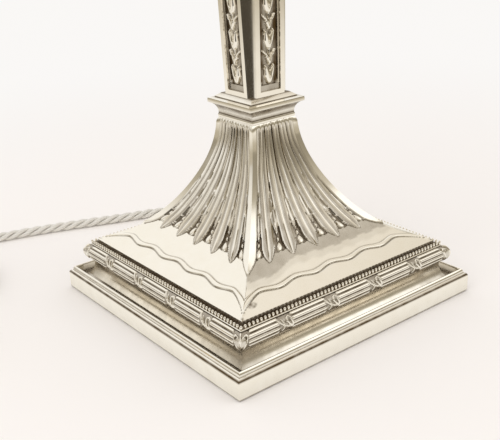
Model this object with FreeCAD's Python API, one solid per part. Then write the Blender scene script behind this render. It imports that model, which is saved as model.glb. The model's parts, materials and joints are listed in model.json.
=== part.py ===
import FreeCAD, Part
import math
import os

# Candlestick table lamp. A square loaded-silver candlestick in the late eighteenth-century
# manner, drilled for a rod and flex, with a brass bayonet lampholder in its nozzle.
# Millimetres. Origin at the bottom centre of the base, +Z up, the flex leaves towards +Y.

Vec = FreeCAD.Vector
UP = Vec(0, 0, 1)

# ---------------------------------------------------------------- driving dimensions

base_side = 160.0          # outer side of the square plinth
sheet = 1.2                # wall of the silver shells
seat_gap = 0.3             # play round poured fillings and loose-fitting curved faces
slip = 0.05                # radial play of a threaded or pressed round fit
running_fit = 0.06         # radial play of a round piece that moves in its hole

# Underside
baize_thickness = 0.8
board_thickness = 5.0
board_play = 0.4           # board to plinth wall
baize_inset = 2.0          # baize edge to the plinth's outer face
baize_notch = 12.0         # cut in the baize edge under the flex bush
block_side = 12.4          # glue blocks in the four corners
screw_shank_r = 1.4
screw_head_r = 3.0
screw_head_height = 1.6
screw_length = 11.0
screw_slot_width = 0.8
screw_slot_depth = 0.7

# Plinth and mouldings of the base
rim_lift = 0.4             # the silver stands clear of the table by this
plinth_height = 10.1
rim_rise = 0.9
rim_width = 1.0
groove_width = 0.8
ridge_height = 2.3
ridge_width = 2.2
channel_floor_z = 9.1
channel_width = 4.6
channel_lean = 0.3         # the ridge's inner wall leans by this
cavetto_foot = 2.7         # how far the hollow moulding leans inward
cavetto_height = 8.1
cavetto_waist = 0.4        # share of the lean left at a third of the height
plate_lip = 1.2            # plinth plate beyond the hollow moulding's inner edge
reed_count = 5
border_radius = 5.0        # crest of the reeds about the border's centre line
reed_depth = 0.4
reed_spread = 75.0         # degrees above and below the level that the reeds cover
border_height = 10.8
border_top_lip = 0.6       # flat beside the top reed
border_bed = 3.4           # flat back of the border behind its centre line
border_set_back = 0.9      # border's centre line behind the hollow moulding's top
tie_count = 4              # ribbon ties along each side
tie_pitch = 30.0
tie_width = 9.0
tie_waist = 3.0
tie_thickness = 0.7
corner_leaf_reach = 8.0    # each wing of a corner leaf along the side
corner_leaf_thickness = 0.8
corner_leaf_hook = 1.5     # how far the wing's outline swings in and out
bead_radius = 1.05
bead_bed = 0.5

# Flared foot. The curve goes up the outside face: share of the way in to the neck, share of
# the height.
lip_height = 2.5
foot_inset = 1.48          # lip behind the bead strip's centre line
foot_height = 70.5
foot_neck_half = 14.02
foot_curve = [(0.0, 0.0), (0.2505, 0.0809), (0.4054, 0.1532), (0.5870, 0.2823),
              (0.7686, 0.4709), (0.9178, 0.7007), (0.9866, 0.9007), (1.0, 1.0)]
loading_heel = 3.0         # plaster's bottom edge beyond its second point
# Chased leaves on the foot, from the tip up: share of the foot's height, and half the leaf's
# width as a share of the spacing between leaves there.
foot_leaf_count = 5        # along each side, with one more on each corner
foot_leaf_spaces = 2.903   # spaces from the middle of a side to the corner
foot_leaf_edge = 0.4       # height of a leaf's edge above the foot
foot_leaf_rib = 0.8        # height of its middle rib
foot_leaf_root = 0.5       # how deep the leaf goes into the sheet
foot_leaf_shape = [(0.1530, 0.03), (0.1590, 0.12), (0.1780, 0.215), (0.2220, 0.315),
                   (0.3380, 0.35), (0.4710, 0.418), (0.7000, 0.455), (0.9000, 0.45),
                   (0.9700, 0.40)]
corner_leaf_share = 0.85   # width of a corner leaf against the others

# Neck collar between foot and column
neck_inner = 9.0
neck_bead = 0.1
neck_ledge = 0.15          # band beyond the foot, and hollow behind the band
neck_bead_height = 2.0
neck_hollow_height = 6.0
abacus_half = 18.0
abacus_height = 2.3
neck_step = 2.8
neck_step_height = 1.0
neck_step_fall = 0.4       # fall of the ledge on top of the neck's abacus
collar_taper_height = 1.7

# Column
column_length = 158.0
column_foot_half = 12.57
column_head_half = 17.97
column_face_half = 9.1     # flat face between the chamfers
panel_half = 6.6
panel_step_depth = 1.0
panel_depth = 2.0
panel_step_width = 0.9
panel_foot = 2.4           # plain frame below the panel
panel_sill = 3.1
husk_count = 8
husk_foot_gap = 0.9        # lowest husk above the panel floor's lower end
husk_head_gap = 5.3        # plain panel above the top husk
husk_radius = 3.3
husk_stem = 0.5            # stem beyond the panel floor
husk_sink = 1.2            # husk axis below the panel floor
husk_cup = 0.45            # shares of the pitch: top of the cup
husk_belly = 0.2           # middle of the cup's curve
husk_bud = 0.8             # top of the bud on the stem

# Capital
astragal_bulge = 1.3
astragal_height = 6.0
astragal_round = 0.45      # share of the height that the round takes
collar_ledge = 0.4
capital_rise = [(-0.4, 0.0), (0.2, 7.0), (1.6, 15.0), (4.6, 23.0), (9.4, 30.0)]
capital_bed_half = 17.8
abacus_top_half = 29.5
abacus_top_height = 7.5
abacus_top_ease = 1.5

# Candle socket and nozzle
candle_r = 11.0
socket_wall = 1.1
socket_depth = 25.0
socket_floor = 1.5
socket_flange_r = 14.5
socket_flange = 1.0
nozzle_half = 31.0
nozzle_flat_half = 23.0
nozzle_rise = 4.0
nozzle_sleeve = 20.0
nozzle_bead_radius = 1.1
cup_foot_r = 11.5
cup_waist_r = 10.6
cup_belly_r = 15.2
cup_lip_r = 16.4
cup_height = 13.0
cup_waist_z = 3.0          # above the pan
cup_belly_z = 8.0
cup_lip = 1.0
cover_disc_r = 13.6
cover_disc_thickness = 1.4

# Tie rod, nut and washers
rod_r = 5.0
rod_bore_r = 3.9
rod_foot_z = 25.5
rod_into_holder = 8.0
nut_flats = 14.0
nut_height = 3.5
nut_clear = 2.0            # rod showing below the nut
clamp_plate_side = 32.0
clamp_plate_thickness = 2.0
check_ring_r = 7.6
check_ring_height = 3.0
finger_notch_r = 0.6

# Lampholder, two-pin bayonet
cap_neck_r = 8.5
cap_neck_height = 8.0
cap_r = 17.0
cap_wall = 1.0
cap_shoulder_z = 16.5
cap_height = 28.0
cap_shoulder = 2.6         # set-in of the shoulder's curve from side and neck
bar_r = 2.4
bar_length = 44.0
bar_travel = 6.0
bar_z = 20.0
insulator_disc = 4.8
insulator_boss_r = 10.8
insulator_boss = 5.0
plunger_r = 2.3
plunger_spacing = 10.0
plunger_height = 8.0
plunger_rise = 3.2         # plunger tip above the insulator
plunger_head_taper = 1.0
plunger_tip = 0.6          # share of the radius left at the tip
spring_height = 4.0
spring_wire = 0.5
spring_play = 0.2
bulb_bore_r = 11.2
bulb_bore_length = 19.5
skirt_r = 14.0
skirt_length = 28.0
skirt_flange_r = 16.9
skirt_flange = 2.0
skirt_thread_length = 10.0
skirt_groove = 1.2
skirt_groove_depth = 0.6
skirt_lip = 1.8
skirt_tip_r = 13.6         # slotted end above the shade's seat
pin_slot_width = 3.0
pin_slot_depth = 9.0
pin_slot_turn = 28.0       # degrees
ring_plate = 1.5
ring_wall = 1.3
ring_skirt = 6.0
ring_ease = 0.5
shade_ring_r = 21.0
shade_ring_hub_r = 16.2
shade_ring_plate = 1.5
shade_ring_height = 6.3
shade_ring_gap = 0.2
shade_ring_notch_r = 1.0
contact_strip = (16.0, 3.0, 1.0)
contact_strip_y = 6.0

# Flex
flex_r = 3.0
flex_exit_x = 25.0
flex_exit_z = 4.4
flex_bend = 16.0           # radius where the flex turns up into the rod
flex_inside_z = 9.0
flex_inside_bends = [24.0, 30.0, 20.0]
bush_r = 4.2
bush_neck_r = 3.5
bush_end_wall = 0.4        # rubber left round the flex where bush and plug guard end
bush_flange = 1.5
bush_length = 18.0
bush_tail = 4.0
floor_gap = 0.1            # underside of the loose flex above the table
arc_share = 0.45

# Coil of spare flex
coil_inner_r = 22.5
coil_pitch = 6.5
coil_in_quarters = 14
coil_out_quarters = 13
coil_heading = 190.0       # degrees, direction in which the flex runs into the coil
coil_lead = 27.0           # straight run into the coil
coil_start_x = -155.6
coil_from_base = 101.8     # coil's first point beyond the plinth's rear face

# Mains plug, three flat pins
plug_guard_length = 29.0
plug_guard_r = 4.6
plug_length = 50.0
plug_half_width = 25.0
plug_entry_half = 14.0
plug_shoulder = 15.0
plug_round = 6.0
plug_wall = 2.4
plug_rim_chamfer = 1.6
plug_base_height = 11.0
live_pin = (4.0, 6.35, 17.7)
earth_pin = (8.0, 4.0, 22.7)
live_pin_spacing = 22.2
live_pin_from_entry = 16.0
earth_pin_offset = 22.2
pin_root = 6.0
plug_screw_r = 3.0
plug_screw_back = 1.0      # screw nearer the entry than the plug's middle
plug_screw_sunk = 0.6
plug_slot_width = 0.9
fuse_r = 3.1
fuse_length = 25.4
fuse_back = 2.0            # fuse's end nearer the entry than the live pin

# ---------------------------------------------------------------- worked-out places

half = base_side / 2
board_z = baize_thickness
board_top = board_z + board_thickness
ridge_outer = half - rim_width - groove_width
ridge_inner = ridge_outer - ridge_width
channel_inner = ridge_inner - channel_width
cavetto_top = channel_floor_z + cavetto_height
cavetto_top_half = channel_inner - cavetto_foot
border_centre_half = cavetto_top_half - border_set_back
border_centre_z = cavetto_top + border_height / 2
border_top = cavetto_top + border_height
border_back = border_centre_half - border_bed
bead_centre_half = border_centre_half
foot_half = bead_centre_half - foot_inset
foot_lip_top = border_top + lip_height
foot_top = foot_lip_top + foot_height

neck_half = foot_neck_half + neck_ledge
neck_bead_top = foot_top + neck_bead_height
abacus_z = neck_bead_top + neck_hollow_height
abacus_top = abacus_z + abacus_height
neck_step_z = abacus_top + neck_step_height
column_z = neck_step_z + collar_taper_height
column_top = column_z + column_length
panel_floor_z = column_z + panel_foot + panel_sill
panel_floor_top = column_top - panel_foot - panel_sill
husk_z = panel_floor_z + husk_foot_gap
husk_pitch = (panel_floor_top - husk_head_gap - husk_z) / husk_count

capital_z = column_top + astragal_height
capital_top = capital_z + capital_rise[-1][1]
abacus2_top = capital_top + abacus_top_height
socket_flange_top = abacus2_top + socket_flange
pan_top = socket_flange_top + sheet
cup_top = pan_top + cup_height
disc_top = cup_top + cover_disc_thickness
holder_z = disc_top + check_ring_height

nut_z = rod_foot_z + nut_clear
clamp_z = nut_z + nut_height
loading_z = clamp_z + clamp_plate_thickness
rod_top = holder_z + rod_into_holder

cap_top = holder_z + cap_height
insulator_z = cap_top - insulator_disc
insulator_top = cap_top + insulator_boss
skirt_top = cap_top + skirt_length
skirt_thread_z = cap_top + skirt_flange
groove_z = skirt_thread_z + skirt_thread_length
seat_top = skirt_top - pin_slot_depth - 2 * slip
bore_step_z = skirt_top - bulb_bore_length
ring_top = skirt_thread_z + ring_plate
shade_ring_z = ring_top + shade_ring_gap
plunger_z = insulator_top + plunger_rise - plunger_height

floor_z = flex_r + floor_gap
coil_start = Vec(coil_start_x, half + coil_from_base, floor_z)
coil_outer_r = coil_inner_r + coil_in_quarters * coil_pitch / 4


def point(radius, height):
    """Point of an outline: distance from the axis and height, on the front side."""
    return Vec(0, -radius, height)


def outline(steps):
    """Closed face from steps. A pair is a straight step to that point; a list of two pairs
    is an arc through the first to the second; a tuple of three or more pairs is one smooth
    curve through them all."""
    edges = []
    here = point(*steps[0])
    for step in steps[1:] + [steps[0]]:
        if isinstance(step, list):
            through, there = point(*step[0]), point(*step[1])
            edges.append(Part.Arc(here, through, there).toShape())
        elif len(step) > 2:
            curve = Part.BSplineCurve()
            curve.interpolate([here] + [point(*p) for p in step])
            there = point(*step[-1])
            edges.append(curve.toShape())
        else:
            there = point(*step)
            if (there - here).Length > 1e-6:
                edges.append(Part.makeLine(here, there))
        here = there
    return Part.Face(Part.Wire(edges))


def turned(steps):
    """Round piece: the outline spun about the lamp's axis."""
    return outline(steps).revolve(Vec(0, 0, 0), UP, 360)


def front_quarter(low, high):
    """The quarter of space that belongs to the front side, between two heights."""
    reach = base_side
    corners = [Vec(0, 0, low), Vec(-reach, -reach, low), Vec(reach, -reach, low), Vec(0, 0, low)]
    return Part.Face(Part.makePolygon(corners)).extrude(Vec(0, 0, high - low))


def framed(steps, relief=()):
    """Square moulding: the outline run along four sides and mitred at the corners. The relief
    is solids that stand out of its front side."""
    bar = outline(steps)
    bar.translate(Vec(-base_side, 0, 0))
    bar = bar.extrude(Vec(2 * base_side, 0, 0))
    if relief:
        bar = bar.fuse(relief)
    side = bar.common(front_quarter(bar.BoundBox.ZMin - 1, bar.BoundBox.ZMax + 1))
    others = [side.rotated(Vec(0, 0, 0), UP, angle) for angle in (90, 180, 270)]
    return side.fuse(others).removeSplitter()


def around(shape):
    """The four copies of a piece, one on each side of the lamp."""
    return [shape.rotated(Vec(0, 0, 0), UP, angle) for angle in (0, 90, 180, 270)]


def block(x0, x1, y0, y1, z0, z1):
    return Part.makeBox(x1 - x0, y1 - y0, z1 - z0, Vec(x0, y0, z0))


def rod(radius, z0, z1, x=0.0, y=0.0):
    return Part.makeCylinder(radius, z1 - z0, Vec(x, y, z0))


def save(name, shape):
    """Write one node. A list becomes a group of separate solids."""
    if isinstance(shape, list):
        shape = Part.makeCompound(shape)
    solids = shape.Solids
    shape = solids[0] if len(solids) == 1 else Part.makeCompound(solids)
    if not shape.isValid():
        print("not valid:", name)
    shape.exportStep("parts/%s.step" % name)


def slope_offset(points, distance):
    """The same run of points moved square to itself, inward from the outside face."""
    moved = []
    for i, (r, z) in enumerate(points):
        before, after = points[max(i - 1, 0)], points[min(i + 1, len(points) - 1)]
        dr, dz = after[0] - before[0], after[1] - before[1]
        size = math.hypot(dr, dz)
        moved.append((r - distance * dz / size, z + distance * dr / size))
    return moved


# ---------------------------------------------------------------- base

def baize_pad():
    edge = half - baize_inset
    side = 1.2 * bush_r
    notch = block(flex_exit_x - side, flex_exit_x + side, half - baize_notch, half, -1, board_top)
    return block(-edge, edge, -edge, edge, 0, baize_thickness).cut(notch)


def corner_places():
    """Middles of the corner blocks, which sit in the angle behind the reeded border."""
    middle = border_back + sheet - block_side / 2
    return [(x * middle, y * middle) for x in (-1, 1) for y in (-1, 1)]


def base_board():
    edge = half - sheet - board_play
    board = block(-edge, edge, -edge, edge, board_z, board_top)
    cuts = [block(flex_exit_x - bush_r, flex_exit_x + bush_r, half / 2, half, 0, board_top + 1)]
    for x, y in corner_places():
        cuts.append(rod(screw_shank_r + slip, 0, board_top + 1, x, y))
        cuts.append(rod(screw_head_r + slip, 0, board_z + screw_head_height + slip, x, y))
    return board.cut(cuts)


def base_screws():
    screws = []
    for x, y in corner_places():
        head = rod(screw_head_r, board_z, board_z + screw_head_height, x, y)
        slot_side = screw_slot_width / 2
        slot = block(x - screw_head_r, x + screw_head_r, y - slot_side, y + slot_side,
                     0, board_z + screw_slot_depth)
        shank = rod(screw_shank_r, board_z, board_z + screw_length, x, y)
        screws.append(head.fuse(shank).cut(slot).removeSplitter())
    return screws


def corner_blocks():
    blocks = []
    side = block_side / 2
    for x, y in corner_places():
        body = block(x - side, x + side, y - side, y + side, board_top, cavetto_top)
        hole = rod(screw_shank_r + slip, 0, board_z + screw_length + seat_gap, x, y)
        blocks.append(body.cut(hole))
    return blocks


def plinth_casing():
    under = channel_floor_z - sheet
    crest = plinth_height + rim_rise + ridge_height
    ridge_middle = (ridge_outer + ridge_inner) / 2
    plate_end = cavetto_top_half - plate_lip
    casing = framed([
        (half - sheet, rim_lift),
        (half, rim_lift),
        (half, plinth_height),
        (half - rim_width, plinth_height + rim_rise),
        (ridge_outer, plinth_height + rim_rise),
        [(ridge_middle, crest), (ridge_inner, plinth_height + rim_rise)],
        (ridge_inner - channel_lean, channel_floor_z),
        (plate_end, channel_floor_z),
        (plate_end, under),
        (half - sheet, under),
    ])
    start = Vec(flex_exit_x, half - 4 * sheet, flex_exit_z)
    hole = Part.makeCylinder(bush_neck_r + slip, 8 * sheet, start, Vec(0, 1, 0))
    return casing.cut(hole)


def cavetto_riser():
    foot, top = channel_inner, cavetto_top_half
    low, high = channel_floor_z, cavetto_top
    waist = low + cavetto_height / 3
    waist_half = top + cavetto_foot * cavetto_waist
    return framed([
        (foot, low),
        [(waist_half, waist), (top, high)],
        (top - sheet, high),
        [(waist_half - sheet, waist), (foot - 1.3 * sheet, low)],
    ])


def border_point(radius, degrees):
    angle = math.radians(degrees)
    return (border_centre_half + radius * math.cos(angle),
            border_centre_z + radius * math.sin(angle))


def reeded_border():
    valley = border_radius - reed_depth
    width = 2 * reed_spread / reed_count
    steps = [(border_back, cavetto_top), (cavetto_top_half, cavetto_top)]
    steps.append(border_point(valley, -reed_spread))
    for i in range(reed_count):
        start = -reed_spread + i * width
        steps.append([border_point(border_radius, start + width / 2),
                      border_point(valley, start + width)])
    steps.append((border_centre_half + border_top_lip, border_top))
    steps.append((border_back, border_top))
    return framed(steps)


def border_band(thickness):
    """Half-round band lying on the reeds, from which the ties and corner leaves are cut."""
    inner = border_radius + slip
    outer = inner + thickness
    return framed([
        border_point(inner, -reed_spread),
        border_point(outer, -reed_spread),
        [border_point(outer, 0), border_point(outer, reed_spread)],
        border_point(inner, reed_spread),
        [border_point(inner, 0), border_point(inner, -reed_spread)],
    ])


def front_prism(points):
    """Prism that runs from the front inward, with an outline given in x and z."""
    start = [Vec(x, -half, z) for x, z in points]
    face = Part.Face(Part.makePolygon(start + [start[0]]))
    prism = face.extrude(Vec(0, half / 2, 0))
    return prism.common(front_quarter(0, border_top + border_height))


def ribbon_ties():
    """Crossed ribbon: two broad ends and a narrow waist at the middle of the reeds."""
    band = border_band(tie_thickness)
    low, high = cavetto_top - 1, border_top + 1
    ties = []
    for i in range(tie_count):
        x = (i - (tie_count - 1) / 2) * tie_pitch
        wide, waist = tie_width / 2, tie_waist / 2
        shape = [(x - wide, low), (x - waist, border_centre_z), (x - wide, high),
                 (x + wide, high), (x + waist, border_centre_z), (x + wide, low)]
        ties += around(band.common(front_prism(shape)))
    return ties


def corner_leaves():
    """Clasping leaf at each mitre, with its two wings narrowing along the sides."""
    band = border_band(corner_leaf_thickness)
    corner = border_centre_half + border_radius + 2 * corner_leaf_thickness
    low, high = cavetto_top - 1, border_top + 1
    root = corner - corner_leaf_reach
    hook = corner_leaf_hook
    wing = [(-corner, low), (-root, border_centre_z - hook), (-root + hook, border_centre_z + hook),
            (-root - hook, high), (-corner, high)]
    left = band.common(front_prism(wing))
    mirrored = [(-x, z) for x, z in reversed(wing)]
    right = band.common(front_prism(mirrored)).rotated(Vec(0, 0, 0), UP, -90)
    leaf = left.fuse(right).removeSplitter()
    return around(leaf)


def bead_border():
    low = border_top
    bed = low + bead_bed
    outer, inner = bead_centre_half + bead_radius, bead_centre_half - bead_radius
    return framed([
        (inner, low),
        (outer, low),
        (outer, bed),
        [(bead_centre_half, bed + bead_radius), (inner, bed)],
    ])


def foot_face():
    """Outside face of the foot, from the lip's top to the neck."""
    way_in = foot_half - foot_neck_half
    return [(foot_half - inset * way_in, foot_lip_top + rise * foot_height)
            for inset, rise in foot_curve]


def at_height(curve, z):
    """Place on a rising curve at a height, and the direction square to it outward."""
    low, high = curve.FirstParameter, curve.LastParameter
    while high - low > 1e-9:
        middle = (low + high) / 2
        if curve.value(middle).z < z:
            low = middle
        else:
            high = middle
    along = curve.tangent(low)[0]
    return curve.value(low), along.cross(Vec(1, 0, 0)) * -1


def foot_leaf(place, width, top):
    """Upright leaf on the front of the foot. The place is in spaces from the middle of the
    side. The top is the leaf's upper outline: shares of its half width, and heights."""
    curve = Part.BSplineCurve()
    curve.interpolate([point(*spot) for spot in foot_face()])
    section = [(top[0][0], -foot_leaf_root)] + top + [(top[-1][0], -foot_leaf_root)]
    rings = []
    for rise, half_width in foot_leaf_shape:
        spot, outward = at_height(curve, foot_lip_top + rise * foot_height)
        corners = []
        for across, height in section:
            shift = outward * height
            share = (place + across * half_width * width) / foot_leaf_spaces
            corners.append(spot + shift - Vec(share * (spot + shift).y, 0, 0))
        rings.append(Part.makePolygon(corners + [corners[0]]))
    return Part.makeLoft(rings, True, False)


def foot_leaves():
    """Leaves of one side. The two at the ends run past the mitres, which cut them in half."""
    edge, rib = foot_leaf_edge, foot_leaf_rib
    middle = (foot_leaf_count - 1) / 2
    leaves = [foot_leaf(i - middle, 1.0, [(-1, edge), (0, rib), (1, edge)])
              for i in range(foot_leaf_count)]
    corner = foot_leaf(foot_leaf_spaces, corner_leaf_share, [(-1, edge), (1, 2 * rib - edge)])
    return leaves + [corner, corner.mirror(Vec(0, 0, 0), Vec(1, 0, 0))]


def flared_foot():
    face = foot_face()
    inside = slope_offset(face, sheet)
    inside[-1] = (foot_neck_half - sheet, foot_top)
    inside[0] = (foot_half - sheet, foot_lip_top - sheet / 2)
    return framed([
        (foot_half - sheet, border_top),
        (foot_half, border_top),
        face[0],
        tuple(face[1:]),
        inside[-1],
        tuple(reversed(inside[:-1])),
    ], foot_leaves())


def loading_foot():
    """Plaster poured into the foot round the rod."""
    inside = slope_offset(foot_face(), sheet + seat_gap)[1:]
    inside[-1] = (foot_neck_half - sheet - seat_gap, foot_top)
    start = (inside[0][0] + loading_heel, loading_z)
    plaster = framed([
        (0, loading_z),
        start,
        inside[0],
        tuple(inside[1:]),
        (0, foot_top),
    ])
    return plaster.cut(rod(rod_r + seat_gap, 0, foot_top + 1))


# ---------------------------------------------------------------- neck and column

def neck_collar():
    middle = foot_top + neck_bead_height / 2
    hollow = neck_bead_top + neck_hollow_height / 3
    inner_step = abacus_half - neck_step
    return framed([
        (neck_inner, foot_top),
        (neck_half, foot_top),
        [(neck_half + neck_bead, middle), (neck_half, neck_bead_top)],
        (neck_half - neck_ledge, neck_bead_top),
        [(neck_half, hollow), (abacus_half, abacus_z)],
        (abacus_half, abacus_top),
        (inner_step, abacus_top + neck_step_fall),
        (inner_step, neck_step_z),
        (column_foot_half, column_z),
        (neck_inner, column_z),
    ])


def column_half(z):
    """Half the width of the column across its faces at a height."""
    share = (z - column_z) / column_length
    return column_foot_half + (column_head_half - column_foot_half) * share


def chamfered_square(half_width, face_half, z):
    corners = []
    for turn in range(4):
        angle = turn * math.pi / 2
        for along in (-face_half, face_half):
            x, y = along, -half_width
            corners.append(Vec(x * math.cos(angle) - y * math.sin(angle),
                               x * math.sin(angle) + y * math.cos(angle), z))
    return Part.makePolygon(corners + [corners[0]])


def tapered_prism(z0, z1, inset, face_half):
    low = chamfered_square(column_half(z0) - inset, face_half, z0)
    high = chamfered_square(column_half(z1) - inset, face_half, z1)
    return Part.makeLoft([low, high], True, True)


def panel_cutter(z0, z1, half_width, depth):
    """Tapered slab that sinks a panel to an even depth below the sloping face."""
    rings = []
    for z in (z0, z1):
        floor, front = -(column_half(z) - depth), -(column_half(z) + 1)
        corners = [Vec(-half_width, front, z), Vec(half_width, front, z),
                   Vec(half_width, floor, z), Vec(-half_width, floor, z)]
        rings.append(Part.makePolygon(corners + [corners[0]]))
    return Part.makeLoft(rings, True, True)


def column_shell():
    shell = tapered_prism(column_z, column_top, 0, column_face_half)
    core_half = panel_half + panel_step_width
    core = tapered_prism(column_z, column_top, panel_depth + sheet, core_half)
    step = panel_cutter(column_z + panel_foot, column_top - panel_foot, panel_half,
                        panel_step_depth)
    floor = panel_cutter(panel_floor_z, panel_floor_top, panel_half - panel_step_width,
                         panel_depth)
    return shell.cut([core] + around(step) + around(floor))


def loading_column():
    gap = seat_gap / 2
    filling = tapered_prism(column_z, column_top, panel_depth + sheet + gap,
                            panel_half + panel_step_width - gap)
    return filling.cut(rod(rod_r + seat_gap, column_z - 1, column_top + 1))


def husk_drops():
    """Chains of bellflowers: each a cup that opens upward, on a stem with a bud."""
    stem = husk_sink + husk_stem
    neck = (husk_cup + husk_bud) / 2 * husk_pitch
    ledge = 0.02 * husk_pitch
    steps = [(0, 0)]
    for i in range(husk_count):
        z = i * husk_pitch
        cup, bud = z + husk_cup * husk_pitch, z + husk_bud * husk_pitch
        steps += [(stem, z + ledge),
                  [(husk_radius - husk_stem, z + husk_belly * husk_pitch), (husk_radius, cup)],
                  (1.25 * stem, cup + ledge),
                  [(stem, z + neck), (1.35 * stem, bud)],
                  (stem, z + husk_pitch - ledge)]
    length = husk_count * husk_pitch
    steps.append((0, length))
    chain = turned(steps)
    wide = 2 * husk_radius
    chain = chain.cut(block(-wide, wide, -husk_sink, wide, -1, length + 1))
    chain.translate(Vec(0, husk_sink, 0))
    slope = math.degrees(math.atan2(column_head_half - column_foot_half, column_length))
    chain.rotate(Vec(0, 0, 0), Vec(1, 0, 0), slope)
    chain.translate(Vec(0, -(column_half(husk_z) - panel_depth), husk_z))
    return around(chain)


# ---------------------------------------------------------------- capital and nozzle

def capital_collar():
    bulge = column_head_half + astragal_bulge
    round_top = column_top + astragal_height * astragal_round
    return framed([
        (neck_inner, column_top),
        (column_head_half, column_top),
        [(bulge, (column_top + round_top) / 2), (column_head_half, round_top)],
        (capital_bed_half, round_top + collar_ledge),
        (capital_bed_half, capital_z),
        (neck_inner, capital_z),
    ])


def capital_bell():
    face = [(capital_bed_half + out, capital_z + rise) for out, rise in capital_rise]
    inside = slope_offset(face, sheet)
    inside[0] = (face[0][0] - sheet, capital_z)
    inside[-1] = (face[-1][0] - 1.6 * sheet, capital_top)
    return framed([
        inside[0],
        face[0],
        tuple(face[1:]),
        inside[-1],
        tuple(reversed(inside[:-1])),
    ])


def capital_abacus():
    hole = candle_r + socket_wall + slip
    ease = abacus_top_ease
    reed = (abacus_top_height - 2 * ease) / 3
    steps = [(neck_inner, capital_top), (abacus_top_half - ease, capital_top)]
    steps.append((abacus_top_half, capital_top + ease))
    for i in range(3):
        z = capital_top + ease + i * reed
        steps.append([(abacus_top_half + reed / 2, z + reed / 2), (abacus_top_half, z + reed)])
    steps.append((abacus_top_half - ease, abacus2_top))
    steps.append((neck_inner, abacus2_top))
    return framed(steps).cut(rod(hole, capital_top - 1, abacus2_top + 1))


def candle_socket():
    bottom = socket_flange_top - socket_depth
    outer = candle_r + socket_wall
    return turned([
        (rod_r + slip, bottom),
        (outer, bottom),
        (outer, abacus2_top),
        (socket_flange_r, abacus2_top),
        (socket_flange_r, socket_flange_top),
        (candle_r, socket_flange_top),
        (candle_r, bottom + socket_floor),
        (rod_r + slip, bottom + socket_floor),
    ])


def nozzle_pan():
    low, high = socket_flange_top, pan_top
    sleeve_r = candle_r - running_fit
    plate = framed([
        (candle_r / 2, low),
        (nozzle_flat_half, low),
        (nozzle_half, low + nozzle_rise),
        (nozzle_half, high + nozzle_rise),
        (nozzle_half - sheet, high + nozzle_rise),
        (nozzle_flat_half - sheet / 2, high),
        (candle_r / 2, high),
    ])
    sleeve = rod(sleeve_r, low - nozzle_sleeve, high)
    bore = rod(sleeve_r - sheet, low - nozzle_sleeve - 1, high + 1)
    return plate.fuse(sleeve).cut(bore).removeSplitter()


def nozzle_bead():
    middle = socket_flange_top + nozzle_rise
    size = nozzle_bead_radius
    return framed([
        (nozzle_half, middle - size),
        [(nozzle_half + size, middle), (nozzle_half, middle + size)],
    ])


def nozzle_cup():
    z, wall = pan_top, sheet
    waist, belly = z + cup_waist_z, z + cup_belly_z
    bend_r = (cup_waist_r + 2 * cup_belly_r) / 3
    bend_z = (waist + belly) / 2
    return turned([
        (cup_foot_r, z),
        [(cup_waist_r, (z + waist) / 2), (1.04 * cup_waist_r, waist)],
        [(bend_r, bend_z), (cup_belly_r, belly)],
        (cup_lip_r, cup_top - cup_lip),
        (cup_lip_r, cup_top),
        (cup_belly_r - wall, cup_top),
        (cup_belly_r - wall, belly),
        [(bend_r - wall, bend_z), (cup_waist_r - wall, waist)],
        (cup_waist_r - wall, z),
    ])


def cover_disc():
    """Brass cover that closes the cup under the lampholder."""
    return turned([
        (rod_r + slip, cup_top),
        (cup_lip_r, cup_top),
        (cup_lip_r, cup_top + cover_disc_thickness / 2),
        (cover_disc_r, disc_top),
        (rod_r + slip, disc_top),
    ])


# ---------------------------------------------------------------- rod and fixings

def tie_rod():
    return rod(rod_r, rod_foot_z, rod_top).cut(rod(rod_bore_r, 0, rod_top + 1))


def hexagon(flats, z0, z1):
    radius = flats / math.sqrt(3)
    corners = [Vec(radius * math.cos(math.radians(60 * i)),
                   radius * math.sin(math.radians(60 * i)), z0) for i in range(7)]
    return Part.Face(Part.makePolygon(corners)).extrude(Vec(0, 0, z1 - z0))


def rod_nut():
    hole = rod(rod_r + slip, nut_z - 1, clamp_z + 1)
    return hexagon(nut_flats, nut_z, clamp_z).cut(hole)


def clamp_plate():
    side = clamp_plate_side / 2
    hole = rod(rod_r + slip, clamp_z - 1, loading_z + 1)
    return block(-side, side, -side, side, clamp_z, loading_z).cut(hole)


def check_ring():
    """Locknut under the lampholder, with eight finger flats round its edge."""
    ring = rod(check_ring_r, disc_top, holder_z).cut(rod(rod_r + slip, disc_top - 1, holder_z + 1))
    notches = []
    for i in range(8):
        angle = math.radians(45 * i)
        x, y = check_ring_r * math.cos(angle), check_ring_r * math.sin(angle)
        notches.append(rod(finger_notch_r, disc_top - 1, holder_z + 1, x, y))
    return ring.cut(notches)


# ---------------------------------------------------------------- lampholder

def lampholder_cap():
    z, wall = holder_z, cap_wall
    inner_neck = rod_r + slip
    neck_top = z + cap_neck_height
    curve_r, curve_z = cap_r - cap_shoulder, neck_top + cap_shoulder
    cap = turned([
        (inner_neck, z),
        (cap_neck_r, z),
        (cap_neck_r, neck_top),
        [(curve_r, curve_z), (cap_r, z + cap_shoulder_z)],
        (cap_r, cap_top),
        (cap_r - wall, cap_top),
        (cap_r - wall, z + cap_shoulder_z),
        [(curve_r - wall, curve_z + wall), (inner_neck + wall, neck_top + wall)],
        (inner_neck, neck_top + wall),
    ])
    hole_r = bar_r + running_fit
    start = Vec(-2 * cap_r, 0, z + bar_z)
    return cap.cut(Part.makeCylinder(hole_r, 4 * cap_r, start, Vec(1, 0, 0)))


def switch_bar():
    """Push bar, standing out on the +X side; pressed in, it stands out on the other."""
    start = Vec((bar_travel - bar_length) / 2, 0, holder_z + bar_z)
    bar = Part.makeCylinder(bar_r, bar_length, start, Vec(1, 0, 0))
    ends = [edge for edge in bar.Edges if edge.Curve.TypeId == "Part::GeomCircle"]
    return bar.makeFillet(bar_r * 0.45, ends)


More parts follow.
